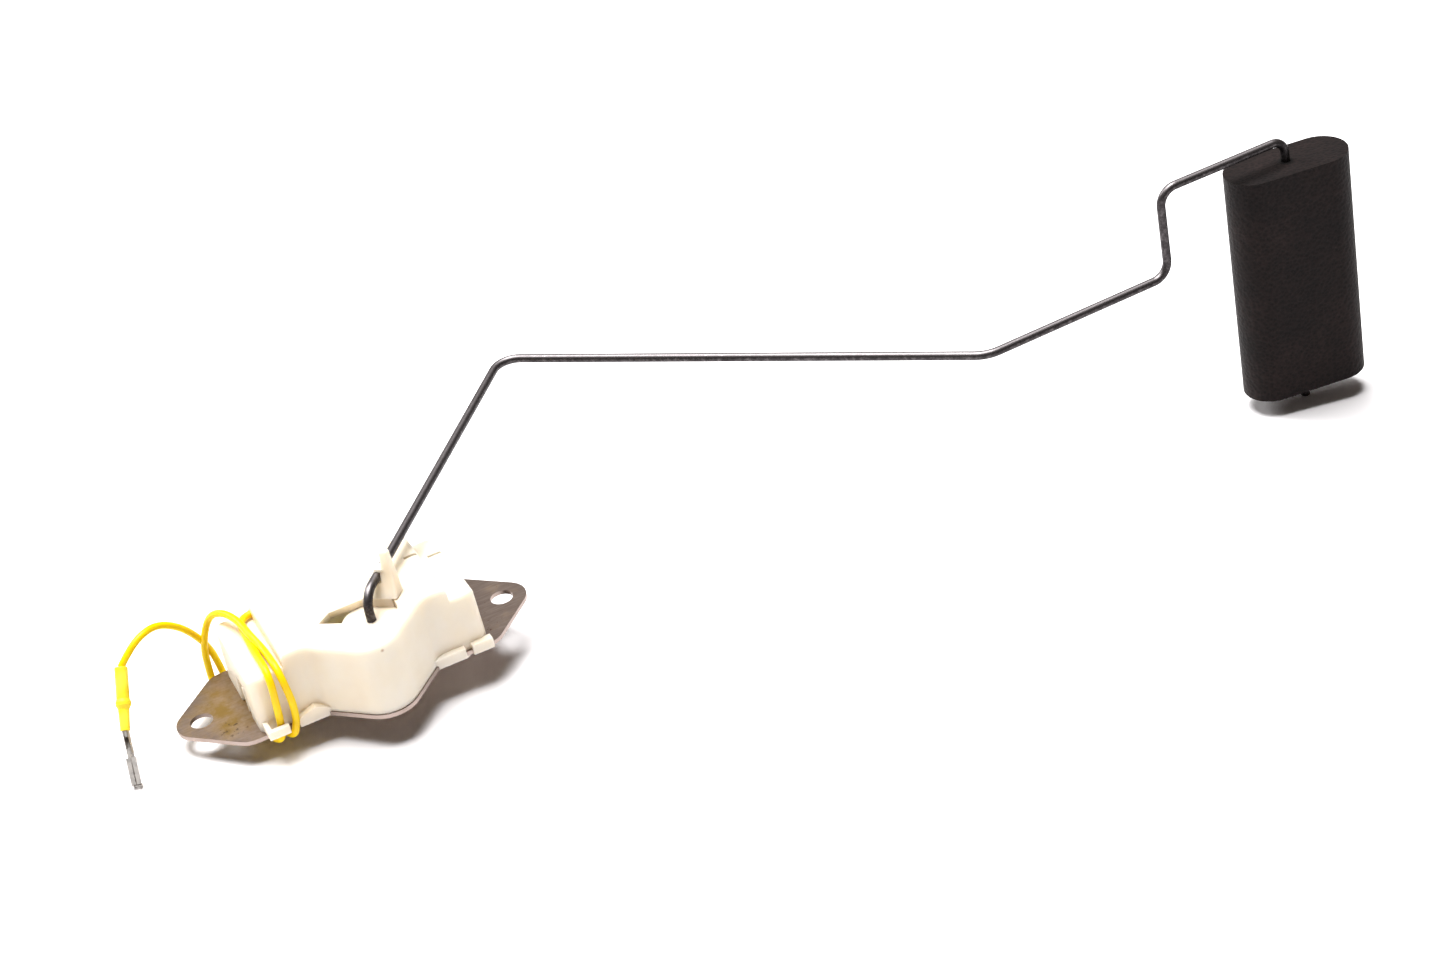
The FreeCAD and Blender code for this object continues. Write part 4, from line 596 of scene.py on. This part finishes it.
class SENDER_OT_stage(bpy.types.Operator):
    """Set the camera, floor and lights"""
    bl_idname = "sender.stage"
    bl_label = "Stage"

    def execute(self, context):
        settings = context.scene.sender_stage
        camera_data = bpy.data.cameras.new("camera")
        camera_data.sensor_width = 36.0
        camera_data.lens = settings.lens
        camera_data.clip_start = 0.05
        camera_data.clip_end = 20.0
        camera = bpy.data.objects.new("camera", camera_data)
        camera.location = CAMERA_PLACE
        camera.rotation_euler = CAMERA_TURN
        context.scene.collection.objects.link(camera)
        context.scene.camera = camera
        self.make_floor(context, settings)
        self.make_lights(context, settings)
        context.scene.view_settings.view_transform = "Standard"
        return {"FINISHED"}

    def make_floor(self, context, settings):
        """One wide pale plane, tilted so that the terminal and the wire's tip both rest on it."""
        shape = bmesh.new()
        bmesh.ops.create_grid(shape, x_segments=2, y_segments=2, size=TABLE_REACH)
        mesh = bpy.data.meshes.new("table")
        shape.to_mesh(mesh)
        shape.free()
        floor = bpy.data.objects.new("table", mesh)
        floor.rotation_euler = (0.0, settings.floor_tilt, 0.0)
        floor.location = (TERMINAL_TIP, 0.0, settings.floor_at_terminal)
        context.scene.collection.objects.link(floor)
        material, _, _ = start_material("painted_board", settings.floor_colour, {"Roughness": 0.7})
        mesh.materials.append(material)

    def make_lights(self, context, settings):
        """A wide softbox overhead, a smaller one from the back left and a faint even surround."""
        up = Vector((math.sin(settings.floor_tilt), 0.0, math.cos(settings.floor_tilt)))
        for name, offset, size, share in (
            ("softbox", up * SOFTBOX_HEIGHT + SOFTBOX_SHIFT, SOFTBOX_SIZE, 1.0),
            ("back_box", BACK_BOX_PLACE, BACK_BOX_SIZE, BACK_BOX_SHARE),
        ):
            light = bpy.data.lights.new(name, "AREA")
            light.shape = "SQUARE"
            light.size = size
            light.energy = settings.softbox_power * share
            lamp = bpy.data.objects.new(name, light)
            lamp.location = LIT_SPOT + offset
            lamp.rotation_euler = (-offset).to_track_quat("-Z", "Y").to_euler()
            context.scene.collection.objects.link(lamp)
        world = bpy.data.worlds.new("surround")
        world.use_nodes = True
        background = world.node_tree.nodes["Background"]
        background.inputs["Color"].default_value = linear("FFEEE2")
        background.inputs["Strength"].default_value = SURROUND_STRENGTH
        context.scene.world = world


class SENDER_PT_panel(bpy.types.Panel):
    """Settings and buttons for the looks"""
    bl_label = "Fuel level sender"
    bl_idname = "SENDER_PT_panel"
    bl_space_type = "VIEW_3D"
    bl_region_type = "UI"
    bl_category = "Sender"

    def draw(self, context):
        for settings in (context.scene.sender_lead, context.scene.sender_stage):
            for name in settings.__annotations__:
                self.layout.prop(settings, name)
        for operator in OPERATORS:
            self.layout.operator(operator.bl_idname)


OPERATORS = (
    SENDER_OT_mouldings, SENDER_OT_plate, SENDER_OT_arm, SENDER_OT_foam_float, SENDER_OT_lead,
    SENDER_OT_terminals, SENDER_OT_turned_pieces, SENDER_OT_springs, SENDER_OT_resistor, SENDER_OT_stage,
)
CLASSES = (SenderStageSettings, SenderLeadSettings, *OPERATORS, SENDER_PT_panel)


def register():
    """Register the classes and hang their settings on the scene."""
    for item in CLASSES:
        bpy.utils.register_class(item)
    bpy.types.Scene.sender_stage = bpy.props.PointerProperty(type=SenderStageSettings)
    bpy.types.Scene.sender_lead = bpy.props.PointerProperty(type=SenderLeadSettings)


def unregister():
    """Take the settings and the classes away again."""
    del bpy.types.Scene.sender_lead
    del bpy.types.Scene.sender_stage
    for item in reversed(CLASSES):
        bpy.utils.unregister_class(item)


def main():
    """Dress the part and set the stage."""
    register()
    bpy.ops.sender.mouldings()
    bpy.ops.sender.plate()
    bpy.ops.sender.arm()
    bpy.ops.sender.foam_float()
    bpy.ops.sender.lead()
    bpy.ops.sender.terminals()
    bpy.ops.sender.turned_pieces()
    bpy.ops.sender.springs()
    bpy.ops.sender.resistor()
    bpy.ops.sender.stage()


if __name__ == "__main__":
    main()
